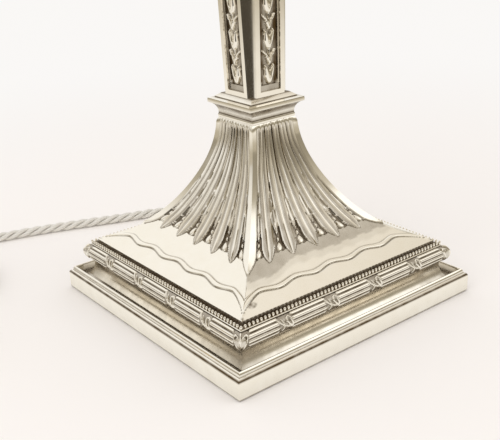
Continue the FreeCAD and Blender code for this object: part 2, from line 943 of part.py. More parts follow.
def plunger_places():
    return [-plunger_spacing / 2, plunger_spacing / 2]


def insulator_block():
    disc = rod(cap_r - cap_wall - seat_gap, insulator_z, cap_top)
    boss = rod(insulator_boss_r, cap_top, insulator_top)
    holes = [rod(plunger_r + running_fit, plunger_z - spring_height, insulator_top + 1, x)
             for x in plunger_places()]
    return disc.fuse(boss).cut(holes).removeSplitter()


def contact_plunger(x):
    body = rod(plunger_r, plunger_z, plunger_z + plunger_height - plunger_head_taper, x)
    tip = Part.makeCone(plunger_r, plunger_r * plunger_tip, plunger_head_taper,
                        Vec(x, 0, plunger_z + plunger_height - plunger_head_taper))
    return body.fuse(tip).removeSplitter()


def plunger_spring(x):
    low = plunger_z - spring_height
    outer = plunger_r - spring_play
    return rod(outer, low, plunger_z, x).cut(
        rod(outer - spring_wire, low - 1, plunger_z + 1, x))


def switch_contacts():
    length, width, thick = contact_strip
    strips = []
    for y in (-contact_strip_y, contact_strip_y):
        strips.append(block(-length / 2, length / 2, y - width / 2, y + width / 2,
                            insulator_z - thick, insulator_z))
    return strips


def pin_slot():
    """Straight way down for a bulb's pin, then a short turn to the side."""
    wide = pin_slot_width / 2
    low = skirt_top - pin_slot_depth
    way = block(-wide, wide, -cap_r, 0, low, skirt_top + 1)
    pie = Part.makeCylinder(cap_r, pin_slot_width, Vec(0, 0, low), UP, pin_slot_turn)
    return way.fuse(pie.rotated(Vec(0, 0, 0), UP, -90))


def lampholder_skirt():
    thin = skirt_r - skirt_groove_depth
    skirt = turned([
        (insulator_boss_r + slip, cap_top),
        (skirt_flange_r, cap_top),
        (skirt_flange_r, skirt_thread_z),
        (skirt_r, skirt_thread_z),
        (skirt_r, groove_z),
        (thin, groove_z),
        (thin, groove_z + skirt_groove),
        (skirt_r, groove_z + skirt_groove),
        (skirt_r, seat_top),
        (skirt_tip_r, seat_top),
        (skirt_tip_r, skirt_top - skirt_lip),
        (thin, skirt_top - skirt_lip),
        (thin, skirt_top),
        (bulb_bore_r, skirt_top),
        (bulb_bore_r, bore_step_z),
        (insulator_boss_r + slip, bore_step_z),
    ])
    slot = pin_slot()
    return skirt.cut([slot, slot.rotated(Vec(0, 0, 0), UP, 180)])


def retaining_ring():
    low = skirt_thread_z - ring_skirt
    inner = cap_r + slip
    return turned([
        (skirt_r + slip, skirt_thread_z),
        (inner, skirt_thread_z),
        (inner, low),
        (inner + ring_wall, low),
        (inner + ring_wall, ring_top - ring_ease),
        (inner + ring_wall - ring_ease, ring_top),
        (skirt_r + slip, ring_top),
    ])


def shade_ring():
    low = shade_ring_z
    inner = skirt_r + running_fit
    ring = turned([
        (inner, low),
        (shade_ring_r, low),
        (shade_ring_r, low + shade_ring_plate),
        (shade_ring_hub_r, low + shade_ring_plate),
        (shade_ring_hub_r, low + shade_ring_height),
        (inner, low + shade_ring_height),
    ])
    notches = []
    for i in range(12):
        angle = math.radians(30 * i)
        x, y = shade_ring_r * math.cos(angle), shade_ring_r * math.sin(angle)
        notches.append(rod(shade_ring_notch_r, low - 1, low + shade_ring_plate + 1, x, y))
    return ring.cut(notches)


# ---------------------------------------------------------------- flex

def arc_leaving(start, direction, end):
    """Arc that leaves start along a direction and reaches end."""
    chord = end - start
    along = Vec(chord).normalize()
    side = direction - along * direction.dot(along)
    side.normalize()
    lean = math.acos(max(-1.0, min(1.0, direction.dot(along))))
    middle = start + chord * 0.5 + side * (chord.Length / 2 * math.tan(lean / 2))
    return Part.Arc(start, middle, end).toShape()


def rounded_route(points, radii):
    """Straight runs joined by tangent arcs of the given radii at the inner points."""
    edges = []
    here = points[0]
    for i, radius in enumerate(radii, start=1):
        corner = points[i]
        way_in = (corner - points[i - 1]).normalize()
        way_out = (points[i + 1] - corner).normalize()
        turn = way_in.getAngle(way_out)
        reach = radius * math.tan(turn / 2)
        start, end = corner - way_in * reach, corner + way_out * reach
        edges.append(Part.makeLine(here, start))
        edges.append(arc_leaving(start, way_in, end))
        here = end
    edges.append(Part.makeLine(here, points[-1]))
    return Part.Wire(edges)


def free_radii(points):
    """Arc radii of a free flex: a share of the shorter run over the tangent of half the turn."""
    radii = []
    for before, here, after in zip(points, points[1:], points[2:]):
        turn = (here - before).getAngle(after - here)
        shorter = min((here - before).Length, (after - here).Length)
        radii.append(arc_share * shorter / math.tan(turn / 2))
    return radii


def tube(path, radius):
    first = path.OrderedEdges[0]
    start = first.valueAt(first.FirstParameter)
    heading = first.tangentAt(first.FirstParameter)
    ring = Part.Wire(Part.makeCircle(radius, start, heading))
    return path.makePipeShell([ring], True, False)


def inner_flex():
    """Flex inside the lamp: from the bush, across the base and up through the rod."""
    x, start = flex_exit_x, half - sheet - bush_tail
    points = [Vec(x, start, flex_exit_z),
              Vec(x, start - 3 * flex_r, flex_exit_z),
              Vec(0.92 * x, start - 9 * flex_r, flex_inside_z),
              Vec(x / 3, x, flex_inside_z),
              Vec(0, 0, flex_inside_z),
              Vec(0, 0, rod_top + sheet)]
    return tube(rounded_route(points, flex_inside_bends + [flex_bend]), flex_r)


def flex_bush():
    """Rubber bush moulded on the flex: a neck in the plinth wall and a tapered tail."""
    start, end = half - sheet - bush_tail, half + bush_length
    profile = [Vec(0, start, 0), Vec(bush_neck_r, start, 0), Vec(bush_neck_r, half, 0),
               Vec(bush_r, half, 0), Vec(bush_r, half + bush_flange, 0),
               Vec(flex_r + bush_end_wall, end, 0), Vec(0, end, 0)]
    face = Part.Face(Part.makePolygon(profile + [profile[0]]))
    bush = face.revolve(Vec(0, 0, 0), Vec(0, 1, 0), 360)
    bush.translate(Vec(flex_exit_x, 0, flex_exit_z))
    return bush


# Route of the loose flex from the bush to the coil, chosen by hand along the table.
coil_direction = Vec(math.cos(math.radians(coil_heading)), math.sin(math.radians(coil_heading)), 0)
run_points = [
    Vec(flex_exit_x, half + bush_length, flex_exit_z),
    Vec(flex_exit_x, half + 26.5, flex_exit_z - 0.1),
    Vec(flex_exit_x + 4.1, half + 37.8, floor_z + 0.5),
    Vec(flex_exit_x + 2.0, half + 49.4, floor_z),
    Vec(flex_exit_x - 5.5, half + 58.4, floor_z),
    Vec(-3.2, half + 65.8, floor_z),
    Vec(-40.0, half + 81.0, floor_z),
    Vec(-66.0, half + 90.2, floor_z),
    Vec(-90.0, half + 96.6, floor_z),
    Vec(-111.0, half + 104.3, floor_z),
    coil_start - coil_direction * coil_lead,
    coil_start,
]


def coil_edges():
    """Two layers: a spiral inward on the table, a climb of half a turn, a spiral outward."""
    step = coil_pitch / 4
    here, ahead = coil_start, coil_direction
    edges = [Part.makeLine(here, here + ahead * 2 * flex_r)]
    here = here + ahead * 2 * flex_r
    radii = [coil_outer_r - i * step for i in range(coil_in_quarters)]
    climb_at = len(radii)
    radii += [coil_inner_r + (i + 1) * step for i in range(coil_out_quarters)]
    for i, radius in enumerate(radii):
        if i == climb_at:
            here, ahead, climb = coil_climb(here, ahead)
            edges += climb
        left = UP.cross(ahead)
        there = here + (left + ahead) * radius
        edges.append(arc_leaving(here, ahead, there))
        here, ahead = there, left
    edges.append(Part.makeLine(here, here + ahead * 2 * flex_r))
    return edges, here + ahead * 2 * flex_r, ahead


def coil_climb(here, ahead):
    """Half a turn in two arcs that lifts the flex by one layer."""
    radius, lift = coil_inner_r, coil_pitch
    left = UP.cross(ahead)
    waist = math.hypot(radius, lift / 2)
    middle = here + left * radius + ahead * waist + UP * (lift / 2)
    across = (left * radius + UP * (lift / 2)) * (1 / waist)
    end = here + left * (2 * radius) + UP * lift
    climb = [arc_leaving(here, ahead, middle), arc_leaving(middle, across, end)]
    return end, ahead * -1, climb


def least_gap(edges):
    """Least clear distance from the wound flex to itself, measured on points."""
    spacing = flex_r / 2
    samples = []
    travelled = 0.0
    for edge in edges:
        count = max(2, int(edge.Length / spacing))
        for spot in edge.discretize(count)[:-1]:
            samples.append((travelled, spot))
            travelled += edge.Length / (count - 1)
    least = 1e9
    for i, (way, spot) in enumerate(samples):
        for other_way, other in samples[i + 1:]:
            if other_way - way > 8 * flex_r:
                least = min(least, spot.distanceToPoint(other))
    return least - 2 * flex_r


coil_path, coil_end, plug_ahead = coil_edges()


# ---------------------------------------------------------------- plug

plug_front = coil_end + plug_ahead * plug_guard_length
plug_seam = coil_end.z
plug_side = UP.cross(plug_ahead)


def plug_place(u, v, z):
    """Point of the plug: u along the flex from its entry, v across, z above the table."""
    spot = plug_front + plug_ahead * u + plug_side * v
    return Vec(spot.x, spot.y, z)


def plug_outline(inset, z):
    near, far = inset, plug_length - inset
    wide, entry = plug_half_width - inset, plug_entry_half - inset
    shoulder = plug_shoulder
    cut = plug_round
    corners = [(near, -entry), (shoulder, -wide), (far - cut, -wide), (far, -wide + cut),
               (far, wide - cut), (far - cut, wide), (shoulder, wide), (near, entry)]
    spots = [plug_place(u, v, z) for u, v in corners]
    return Part.Face(Part.makePolygon(spots + [spots[0]]))


def plug_cover():
    """Lower shell as the plug lies, with the flex entering at its rim."""
    body = plug_outline(0, 0).extrude(Vec(0, 0, plug_seam))
    rim = [edge for edge in body.Edges if edge.BoundBox.ZMax < 0.01]
    body = body.makeChamfer(plug_rim_chamfer, rim)
    hollow = plug_outline(plug_wall, plug_wall).extrude(Vec(0, 0, plug_seam))
    return body.cut(hollow)


def pin_box(u, v, along, across, z0, z1):
    corners = [plug_place(u + du * along / 2, v + dv * across / 2, z0)
               for du, dv in ((-1, -1), (1, -1), (1, 1), (-1, 1))]
    return Part.Face(Part.makePolygon(corners + [corners[0]])).extrude(Vec(0, 0, z1 - z0))


def pin_shapes():
    top = plug_seam + plug_base_height
    root = top - pin_root
    shapes = []
    for v in (-live_pin_spacing / 2, live_pin_spacing / 2):
        along, across, reach = live_pin
        shapes.append(pin_box(live_pin_from_entry, v, along, across, root, top + reach))
    along, across, reach = earth_pin
    shapes.append(pin_box(live_pin_from_entry + earth_pin_offset, 0, along, across, root,
                          top + reach))
    return shapes


def plug_base():
    body = plug_outline(0, plug_seam).extrude(Vec(0, 0, plug_base_height))
    hollow = plug_outline(plug_wall, plug_seam).extrude(Vec(0, 0, plug_base_height - pin_root))
    screw = Part.makeCylinder(plug_screw_r + slip, 2 * pin_root,
                              plug_place(plug_length / 2 - plug_screw_back, 0, plug_seam))
    return body.cut([hollow, screw] + pin_shapes())


def plug_screw():
    top = plug_seam + plug_base_height
    along = plug_length / 2 - plug_screw_back
    screw = Part.makeCylinder(plug_screw_r, pin_root - plug_screw_sunk,
                              plug_place(along, 0, top - pin_root))
    slot = pin_box(along, 0, plug_slot_width, 2 * plug_screw_r, top - 2.5 * plug_screw_sunk, top)
    return screw.cut(slot)


def plug_fuse():
    top = plug_seam + plug_base_height - pin_root
    spot = plug_place(live_pin_from_entry - fuse_back, live_pin_spacing / 2, top - fuse_r)
    return Part.makeCylinder(fuse_r, fuse_length, spot, plug_ahead)


def plug_guard():
    return Part.makeCone(flex_r + bush_end_wall, plug_guard_r, plug_guard_length, coil_end,
                         plug_ahead)


# ---------------------------------------------------------------- write the nodes

def main():
    os.makedirs("parts", exist_ok=True)
    pieces = [baize_pad, base_board, base_screws, corner_blocks, plinth_casing, cavetto_riser,
              reeded_border, ribbon_ties, corner_leaves, bead_border, flared_foot, loading_foot,
              neck_collar, column_shell, loading_column, husk_drops, capital_collar,
              capital_bell, capital_abacus, candle_socket, nozzle_pan, nozzle_bead, nozzle_cup,
              cover_disc, tie_rod, rod_nut, clamp_plate, check_ring, lampholder_cap, switch_bar,
              insulator_block, switch_contacts, lampholder_skirt, retaining_ring, shade_ring,
              inner_flex, flex_bush, plug_cover, plug_base, plug_screw, plug_fuse, plug_guard]
    for piece in pieces:
        save(piece.__name__, piece())
    for side, x in zip(("left", "right"), plunger_places()):
        save("contact_plunger_" + side, contact_plunger(x))
        save("plunger_spring_" + side, plunger_spring(x))
    save("plug_pins", pin_shapes())

    radii = free_radii(run_points)
    run_path = rounded_route(run_points, radii)
    run = tube(run_path, flex_r)
    section = math.pi * flex_r ** 2
    print("flex run radii:", " ".join("%.1f" % r for r in radii))
    print("flex run length %.1f, volume over section times length %.4f"
          % (run_path.Length, run.Volume / (section * run_path.Length)))
    save("flex_run", run)

    path = Part.Wire(coil_path)
    coil = tube(path, flex_r)
    print("coil length %.1f, volume over section times length %.4f"
          % (path.Length, coil.Volume / (section * path.Length)))
    print("coil least gap to itself %.2f" % least_gap(coil_path))
    save("flex_coil", coil)
    print("height %.1f, lampholder from %.1f, loose flex in all %.0f"
          % (skirt_top, holder_z, run_path.Length + path.Length))


main()
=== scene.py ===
"""Looks of the candlestick lamp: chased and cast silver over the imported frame, with its flex."""

import json
import math

import bmesh
import bpy
import numpy as np
from mathutils import Matrix, Vector

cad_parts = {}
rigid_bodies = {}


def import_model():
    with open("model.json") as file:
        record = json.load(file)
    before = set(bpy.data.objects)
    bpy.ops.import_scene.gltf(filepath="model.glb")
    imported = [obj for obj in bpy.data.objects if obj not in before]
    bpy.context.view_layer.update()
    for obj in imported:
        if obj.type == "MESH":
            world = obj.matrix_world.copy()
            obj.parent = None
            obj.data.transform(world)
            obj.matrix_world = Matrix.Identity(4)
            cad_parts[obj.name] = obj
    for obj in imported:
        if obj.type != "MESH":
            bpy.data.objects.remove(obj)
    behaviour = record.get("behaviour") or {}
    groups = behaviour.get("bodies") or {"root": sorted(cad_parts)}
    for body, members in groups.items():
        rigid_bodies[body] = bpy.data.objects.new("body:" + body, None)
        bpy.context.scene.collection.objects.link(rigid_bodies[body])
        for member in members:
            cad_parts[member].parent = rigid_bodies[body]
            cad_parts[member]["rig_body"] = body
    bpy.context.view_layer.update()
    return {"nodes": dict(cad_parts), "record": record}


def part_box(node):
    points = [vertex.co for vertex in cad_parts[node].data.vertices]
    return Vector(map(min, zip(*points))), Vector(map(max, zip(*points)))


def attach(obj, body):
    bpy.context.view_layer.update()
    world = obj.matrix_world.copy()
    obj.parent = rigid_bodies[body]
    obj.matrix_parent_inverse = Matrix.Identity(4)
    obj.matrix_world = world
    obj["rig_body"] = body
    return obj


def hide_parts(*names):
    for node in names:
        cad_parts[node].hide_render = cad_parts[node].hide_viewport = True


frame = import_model()
NODES = frame["nodes"]

MM = 0.001

# ---------------------------------------------------------------- sizes, in millimetres

# Camera, solved from the square base
CAMERA_LENS = 60.68
CAMERA_PLACE = (-267.7, -337.0, 216.0)
CAMERA_RIGHT = (0.7798, -0.6245, -0.0440)
CAMERA_UP = (0.2660, 0.2669, 0.9263)

# Read from the frame
PLINTH_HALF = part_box("plinth_casing")[1].x / MM
LIP_TOP_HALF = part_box("flared_foot")[1].x / MM
LIP_FOOT_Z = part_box("flared_foot")[0].z / MM
NECK_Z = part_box("flared_foot")[1].z / MM
BORDER_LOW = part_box("reeded_border")[0].z / MM
BORDER_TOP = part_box("reeded_border")[1].z / MM
COLUMN_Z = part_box("column_shell")[0].z / MM
COLUMN_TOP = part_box("column_shell")[1].z / MM
HUSK_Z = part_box("husk_drops")[0].z / MM
HUSK_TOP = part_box("husk_drops")[1].z / MM
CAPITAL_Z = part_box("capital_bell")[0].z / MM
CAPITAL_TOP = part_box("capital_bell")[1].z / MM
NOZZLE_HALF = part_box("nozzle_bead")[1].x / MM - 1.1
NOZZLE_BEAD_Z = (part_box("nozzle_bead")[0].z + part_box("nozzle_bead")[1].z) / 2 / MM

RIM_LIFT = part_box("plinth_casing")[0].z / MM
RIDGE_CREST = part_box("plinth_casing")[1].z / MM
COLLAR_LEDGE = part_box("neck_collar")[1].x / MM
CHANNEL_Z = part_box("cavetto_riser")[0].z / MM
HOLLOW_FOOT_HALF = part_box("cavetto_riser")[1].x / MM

# Plinth
RIM_SHEET = 1.2
PLATE_END = 67.5

# Reeded border
BORDER_HALF = LIP_TOP_HALF + 1.48
BORDER_MIDDLE = (BORDER_LOW + BORDER_TOP) / 2
BORDER_R = 5.0
BORDER_SPREAD = 75.0
BORDER_BACK = BORDER_HALF - 3.4
REEDS = 5
REED_DEPTH = 0.55
HOLLOW_TOP_HALF = BORDER_HALF + 0.9
TIE_PITCH = 30.0
TIES = 4
TIE_SPOTS = [(i - (TIES - 1) / 2) * TIE_PITCH for i in range(TIES)]
TIE_ROOM = 3.7             # half the gap that the reeds leave for a tie
CORNER_ROOM = 4.6          # the same, on each side of a mitre

# Beads
BEAD_PITCH = 2.37
BEAD_SIZE = (0.76, 0.76, 1.42)    # half along, half across, half of the height
NOZZLE_BEAD_PITCH = 3.2
NOZZLE_BEAD_SIZE = (1.38, 1.035, 1.0925)

# Column
COLUMN_FOOT_HALF = 12.57
COLUMN_HEAD_HALF = 17.97
COLUMN_FACE_HALF = 9.1
COLUMN_WALL = 1.3
PANEL_HALF = 6.6
PANEL_LOW = COLUMN_Z + 2.4
PANEL_HIGH = COLUMN_TOP - 2.4
PANEL_SILL = 3.1           # from a panel's end to its sunk floor
STEP_WIDTH = 0.9
STEP_DEPTH = 1.0
PANEL_DEPTH = 2.0
PANEL_EASE = 0.22          # width of a rounded step
CHAMFER_SWELL = 0.22
CHAMFER_SHARES = (0.06, 0.14, 0.26, 0.5, 0.74, 0.86, 0.94)
HUSKS = 8

# Flared foot: share of the way in to the neck, share of the height
LIP_HEIGHT = 2.5
NECK_HALF = 14.02
FOOT_CURVE = [(0.0, 0.0), (0.2505, 0.0809), (0.4054, 0.1532), (0.5870, 0.2823),
              (0.7686, 0.4709), (0.9178, 0.7007), (0.9866, 0.9007), (1.0, 1.0)]
FOOT_WALL = 1.2
FOOT_COLUMNS = 100         # points along a side, twice as many where the chasing is fine
# half-width at which a band of rows starts, and the distance between its rows
FOOT_ROWS = [(LIP_TOP_HALF, 0.45), (63.2, 0.30), (53.4, 1.0), (46.4, 0.36), (33.5, 1.15),
             (NECK_HALF, 1.0)]
FINE_BANDS = ((33.4, 46.5), (53.3, 63.3))

# Chased leaves, told by the half-width of the foot at their height
LANES_TO_CORNER = 2.903    # leaf widths from the middle of a side to the corner leaf
CORNER_GAP = 2.452         # the gap beside the corner leaf, in lanes like the next ones
GAPS = (-CORNER_GAP, -1.5, -0.5, 0.5, 1.5, CORNER_GAP)
NECK_CROWDING = 0.87
LEAF_TIP = 45.3
LEAF_HEIGHT = 0.95
SECOND_LEAF_TIP = 36.6
SECOND_LEAF_HEIGHT = 0.7
CORNER_LEAF_TIP = 46.9
LINE_WIDTH = 0.035         # dark line beside a leaf, patina and painted shade
LEAST_WIDTH = 0.004
SKIRT_START = 47.5
GROUND_SUNK = 0.55
GROUND_EDGE = 42.1
BUDS = ((40.5, 1.8, 0.125), (37.6, 0.9, 0.065))    # where, half height, half width
NOTCH_WIDTH = 0.16

# Chased ribbon on the skirt
WAVE_PERIOD = 23.5
WAVE_LOW = 56.9
WAVE_HIGH = 54.75
WAVE_HEIGHT = 0.42
CORNER_SWEEP = 9.0         # the ribbon turns down to the mitre over this length

# Flex
FLEX_R = 3.0
FLEX_CORES = 3
CORE_R = 1.3
CORE_SIDES = 10
FLEX_LAY = 23.0
STEPS_PER_LAY = 16
FLOOR_GAP = 0.1
FLOOR_Z = FLEX_R + FLOOR_GAP
FLEX_EXIT = (25.0, 98.0, 4.4)
RUN_POINTS = [
    FLEX_EXIT,
    (25.0, 106.5, 4.3),
    (29.1, 117.8, 3.6),
    (27.0, 129.4, FLOOR_Z),
    (19.5, 138.4, FLOOR_Z),
    (-3.2, 145.8, FLOOR_Z),
    (-40.0, 161.0, FLOOR_Z),
    (-66.0, 170.2, FLOOR_Z),
    (-90.0, 176.6, FLOOR_Z),
    (-111.0, 184.3, FLOOR_Z),
]
COIL_START = (-155.6, 181.8, FLOOR_Z)
COIL_HEADING = 190.0
COIL_LEAD = 27.0
COIL_INNER_R = 22.5
COIL_PITCH = 6.5
COIL_IN_QUARTERS = 14
COIL_OUT_QUARTERS = 13
POINTS_PER_QUARTER = 4

# Studio, in metres. A patch is told by its direction from the lamp, the cosines between which it
# fades in, and its tone: the dark ceiling over the camera, the white sweep behind the lamp, a
# tall window on each side, and the bright window high on the right.
ROOM_TONES = [(0.0, "938B7A"), (0.20, "9B9381"), (0.38, "C2BAA8"), (0.60, "DCD5C6"),
              (0.80, "F0EADF"), (1.0, "F8F5EE")]
ROOM_PATCHES = [((-0.38, -0.33, 0.86), 0.90, 0.97, "7F7259"),
                ((0.10, 0.88, 0.46), 0.62, 0.84, "FBF9F4"),
                ((0.97, 0.0, 0.24), 0.88, 0.95, "FBF9F4"),
                ((-0.95, 0.22, 0.22), 0.90, 0.96, "FBF9F4"),
                ((0.61, -0.55, 0.57), 0.955, 0.985, "FBF9F4")]
DARK_ROOM = (-0.870, -0.493, 0.0)
LAMPS = [("left_softbox", (-0.9, -0.1, 1.1), 0.9, 3.6),
         ("right_softbox", (0.7, -0.9, 1.0), 0.7, 1.8)]


# ---------------------------------------------------------------- small tools

def deselect():
    if bpy.context.object and bpy.context.object.mode != "OBJECT":
        bpy.ops.object.mode_set(mode="OBJECT")
    bpy.ops.object.select_all(action="DESELECT")


def linear(hex_code):
    """Colour written as sRGB hex, as the linear RGBA that a node takes."""
    channels = []
    for i in (0, 2, 4):
        c = int(hex_code[i:i + 2], 16) / 255
        channels.append(c / 12.92 if c <= 0.04045 else ((c + 0.055) / 1.055) ** 2.4)
    return (*channels, 1.0)


def add_node(tree, kind, inputs=None, out=None, stops=(), **settings):
    """Add a shader node, fill its inputs with values or other nodes' outputs, and its ramp with
    stops. Gives back the output called out, or else the first one in use."""
    node = tree.nodes.new("ShaderNode" + kind)
    for name, value in settings.items():
        setattr(node, name, value)
    for name, value in (inputs or {}).items():
        socket = node.inputs[name]
        if isinstance(value, bpy.types.NodeSocket):
            tree.links.new(value, socket)
        else:
            socket.default_value = value
    if stops:
        elements = node.color_ramp.elements
        elements.remove(elements[-1])
        for i, (position, tone) in enumerate(stops):
            stop = elements[0] if i == 0 else elements.new(position)
            stop.position = position
            stop.color = tone
    if out:
        return node.outputs[out]
    return next((socket for socket in node.outputs if socket.enabled), None)


def new_material(name):
    """Material without nodes yet, and its node tree."""
    material = bpy.data.materials.new(name)
    material.use_nodes = True
    material.node_tree.nodes.clear()
    return material, material.node_tree


def mesh_piece(name, verts, faces):
    """Object from points in millimetres and faces, standing at the origin."""
    mesh = bpy.data.meshes.new(name)
    mesh.from_pydata([tuple(c * MM for c in v) for v in verts], [], faces)
    mesh.update()
    piece = bpy.data.objects.new(name, mesh)
    bpy.context.scene.collection.objects.link(piece)
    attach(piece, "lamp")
    return piece


def activate(piece):
    """Make a piece the only selected one, for the operators."""
    deselect()
    bpy.context.view_layer.objects.active = piece
    piece.select_set(True)


def smooth(piece, degrees):
    activate(piece)
    bpy.ops.object.shade_smooth_by_angle(angle=math.radians(degrees))


def outward_faces(piece):
    """Turn a closed shell's faces outward."""
    shell = bmesh.new()
    shell.from_mesh(piece.data)
    bmesh.ops.recalc_face_normals(shell, faces=shell.faces)
    shell.to_mesh(piece.data)
    shell.free()


def finish_shell(piece, node, darkness, degrees):
    """Let a chased shell stand for its node, with the darkness of its patina, painted shade and
    painted reflections at each point.
    """
    layer = piece.data.attributes.new("patina_and_painted_shade", "FLOAT", "POINT")
    layer.data.foreach_set("value", np.asarray(darkness, np.float32))
    outward_faces(piece)
    smooth(piece, degrees)
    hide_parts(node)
    return piece


def ease(x, low, high):
    """Smooth step from 0 at low to 1 at high."""
    t = np.clip((x - low) / (high - low), 0.0, 1.0)
    return t * t * (3 - 2 * t)


def ease_down(x, low, high):
    """Smooth step from 1 at low to 0 at high."""
    return 1 - ease(x, low, high)


def unit(vectors):
    return vectors / np.linalg.norm(vectors, axis=1)[:, None]


def runs_along(points):
    """Distance run along a line to each of its points."""
    return np.concatenate([[0], np.cumsum(np.linalg.norm(np.diff(points, axis=0), axis=1))])


# ---------------------------------------------------------------- camera

def make_camera():
    data = bpy.data.cameras.new("camera")
    data.lens = CAMERA_LENS
    data.sensor_width = 36.0
    data.clip_start = 0.01
    data.clip_end = 20.0
    camera = bpy.data.objects.new("camera", data)
    right, up = Vector(CAMERA_RIGHT), Vector(CAMERA_UP)
    place = Matrix((right, up, right.cross(up))).transposed().to_4x4()
    place.translation = Vector(CAMERA_PLACE) * MM
    camera.matrix_world = place
    bpy.context.scene.collection.objects.link(camera)
    bpy.context.scene.camera = camera


# ---------------------------------------------------------------- flex

def coil_points():
    """Control points of the coil: inward on the table, up half a turn, outward on top."""
    heading = math.radians(COIL_HEADING)
    ahead = Vector((math.cos(heading), math.sin(heading), 0))
    up = Vector((0, 0, 1))
    here = Vector(COIL_START) + ahead * 2 * FLEX_R
    outer = COIL_INNER_R + COIL_IN_QUARTERS * COIL_PITCH / 4
    quarters = [(outer - i * COIL_PITCH / 4, 0.0) for i in range(COIL_IN_QUARTERS)]
    quarters += [(COIL_INNER_R, COIL_PITCH / 2)] * 2
    quarters += [(COIL_INNER_R + (i + 1) * COIL_PITCH / 4, 0.0) for i in range(COIL_OUT_QUARTERS)]
    step = math.pi / 2 / POINTS_PER_QUARTER
    points = []
    for radius, rise in quarters:
        left = up.cross(ahead)
        centre = here + left * radius
        reach = radius / math.cos(step / 2)
        for k in range(POINTS_PER_QUARTER):
            angle = (k + 0.5) * step
            spot = centre + (ahead * math.sin(angle) - left * math.cos(angle)) * reach
            points.append(spot + up * rise * (k + 0.5) / POINTS_PER_QUARTER)
        here = centre + ahead * radius + up * rise
        ahead = left
    points.append(here + ahead * 2 * FLEX_R)
    return points


def flex_line():
    """The flex's centreline, read from its NURBS spline, in metres."""
    heading = math.radians(COIL_HEADING)
    ahead = Vector((math.cos(heading), math.sin(heading), 0))
    start = Vector(COIL_START)
    route = [Vector(p) for p in RUN_POINTS] + [start - ahead * COIL_LEAD, start] + coil_points()
    curve = bpy.data.curves.new("flex_route", "CURVE")
    curve.dimensions = "3D"
    curve.resolution_u = 12
    spline = curve.splines.new("NURBS")
    spline.points.add(len(route) - 1)
    for control, spot in zip(spline.points, route):
        control.co = (*(spot * MM), 1.0)
    spline.order_u = 3
    spline.use_endpoint_u = True
    holder = bpy.data.objects.new("flex_route", curve)
    bpy.context.scene.collection.objects.link(holder)
    bpy.context.view_layer.update()
    depsgraph = bpy.context.evaluated_depsgraph_get()
    line = bpy.data.meshes.new_from_object(holder.evaluated_get(depsgraph))
    spots = np.array([v.co for v in line.vertices], float)
    bpy.data.objects.remove(holder)
    bpy.data.curves.remove(curve)
    bpy.data.meshes.remove(line)
    return spots


def even_steps(line, spacing):
    """The same line with points an even distance apart, and the distance run to each."""
    runs = runs_along(line)
    along = np.linspace(0, runs[-1], int(round(runs[-1] / spacing)) + 1)
    return np.stack([np.interp(along, runs, line[:, k]) for k in range(3)], axis=1), along


def core_shell(middle, out, along, first):
    """Points, faces and braid coordinates of one core: a tube with both ends closed."""
    across = np.cross(unit(np.gradient(middle, axis=0)), out)
    verts, faces, uvs = [], [], []
    for spot, outward, sideways in zip(middle, out, across):
        for k in range(CORE_SIDES):
            angle = 2 * math.pi * k / CORE_SIDES
            ring = outward * math.cos(angle) + sideways * math.sin(angle)
            verts.append(spot + ring * CORE_R * MM)
    for i in range(len(middle) - 1):
        low, high = along[i] / MM, along[i + 1] / MM
        for k in range(CORE_SIDES):
            a = first + i * CORE_SIDES + k
            b = first + i * CORE_SIDES + (k + 1) % CORE_SIDES
            faces.append((a, b, b + CORE_SIDES, a + CORE_SIDES))
            left, right = k / CORE_SIDES, (k + 1) / CORE_SIDES
            uvs += [(left, low), (right, low), (right, high), (left, high)]
    last = first + (len(middle) - 1) * CORE_SIDES
    faces.append(tuple(first + k for k in reversed(range(CORE_SIDES))))
    faces.append(tuple(last + k for k in range(CORE_SIDES)))
    uvs += [(0.5, 0.0)] * CORE_SIDES + [(0.5, along[-1] / MM)] * CORE_SIDES
    return verts, faces, uvs


def make_flex():
    """Three braided cores laid up round each other, along the flex's centreline."""
    spots, along = even_steps(flex_line(), FLEX_LAY / STEPS_PER_LAY * MM)
    ahead = unit(np.gradient(spots, axis=0))
    level = unit(np.cross(ahead, [0, 0, 1.0]))
    upward = np.cross(level, ahead)
    lay_r = (FLEX_R - CORE_R) * MM
    verts, faces, uvs = [], [], []
    for core in range(FLEX_CORES):
        turn = 2 * np.pi * (along / (FLEX_LAY * MM) + core / FLEX_CORES)
        out = level * np.cos(turn)[:, None] + upward * np.sin(turn)[:, None]
        shell = core_shell(spots + out * lay_r, out, along, len(verts))
        for whole, part in zip((verts, faces, uvs), shell):
            whole += part
    flex = mesh_piece("flex_cores", np.array(verts) / MM, faces)
    layer = flex.data.uv_layers.new(name="braid")
    layer.data.foreach_set("uv", np.array(uvs, np.float32).ravel())
    outward_faces(flex)
    smooth(flex, 60)
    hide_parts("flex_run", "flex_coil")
    return flex, spots


# ---------------------------------------------------------------- flared foot

def curve_through(points, count):
    """Points on the natural cubic spline through the given ones, evenly along it."""
    spots = np.array(points, float)
    runs = runs_along(spots)
    gaps = np.diff(runs)
    n = len(spots)
    system = np.eye(n)
    sides = np.zeros((n, 2))
    for i in range(1, n - 1):
        system[i, i - 1:i + 2] = gaps[i - 1], 2 * (gaps[i - 1] + gaps[i]), gaps[i]
        steep = (spots[i + 1] - spots[i]) / gaps[i] - (spots[i] - spots[i - 1]) / gaps[i - 1]
        sides[i] = 6 * steep
    bend = np.linalg.solve(system, sides)
    at = np.linspace(0, runs[-1], count)
    k = np.clip(np.searchsorted(runs, at, side="right") - 1, 0, n - 2)
    h, a, b = gaps[k][:, None], (runs[k + 1] - at)[:, None], (at - runs[k])[:, None]
    curve = (bend[k] * a ** 3 + bend[k + 1] * b ** 3) / (6 * h)
    curve += (spots[k] / h - bend[k] * h / 6) * a + (spots[k + 1] / h - bend[k + 1] * h / 6) * b
    return curve


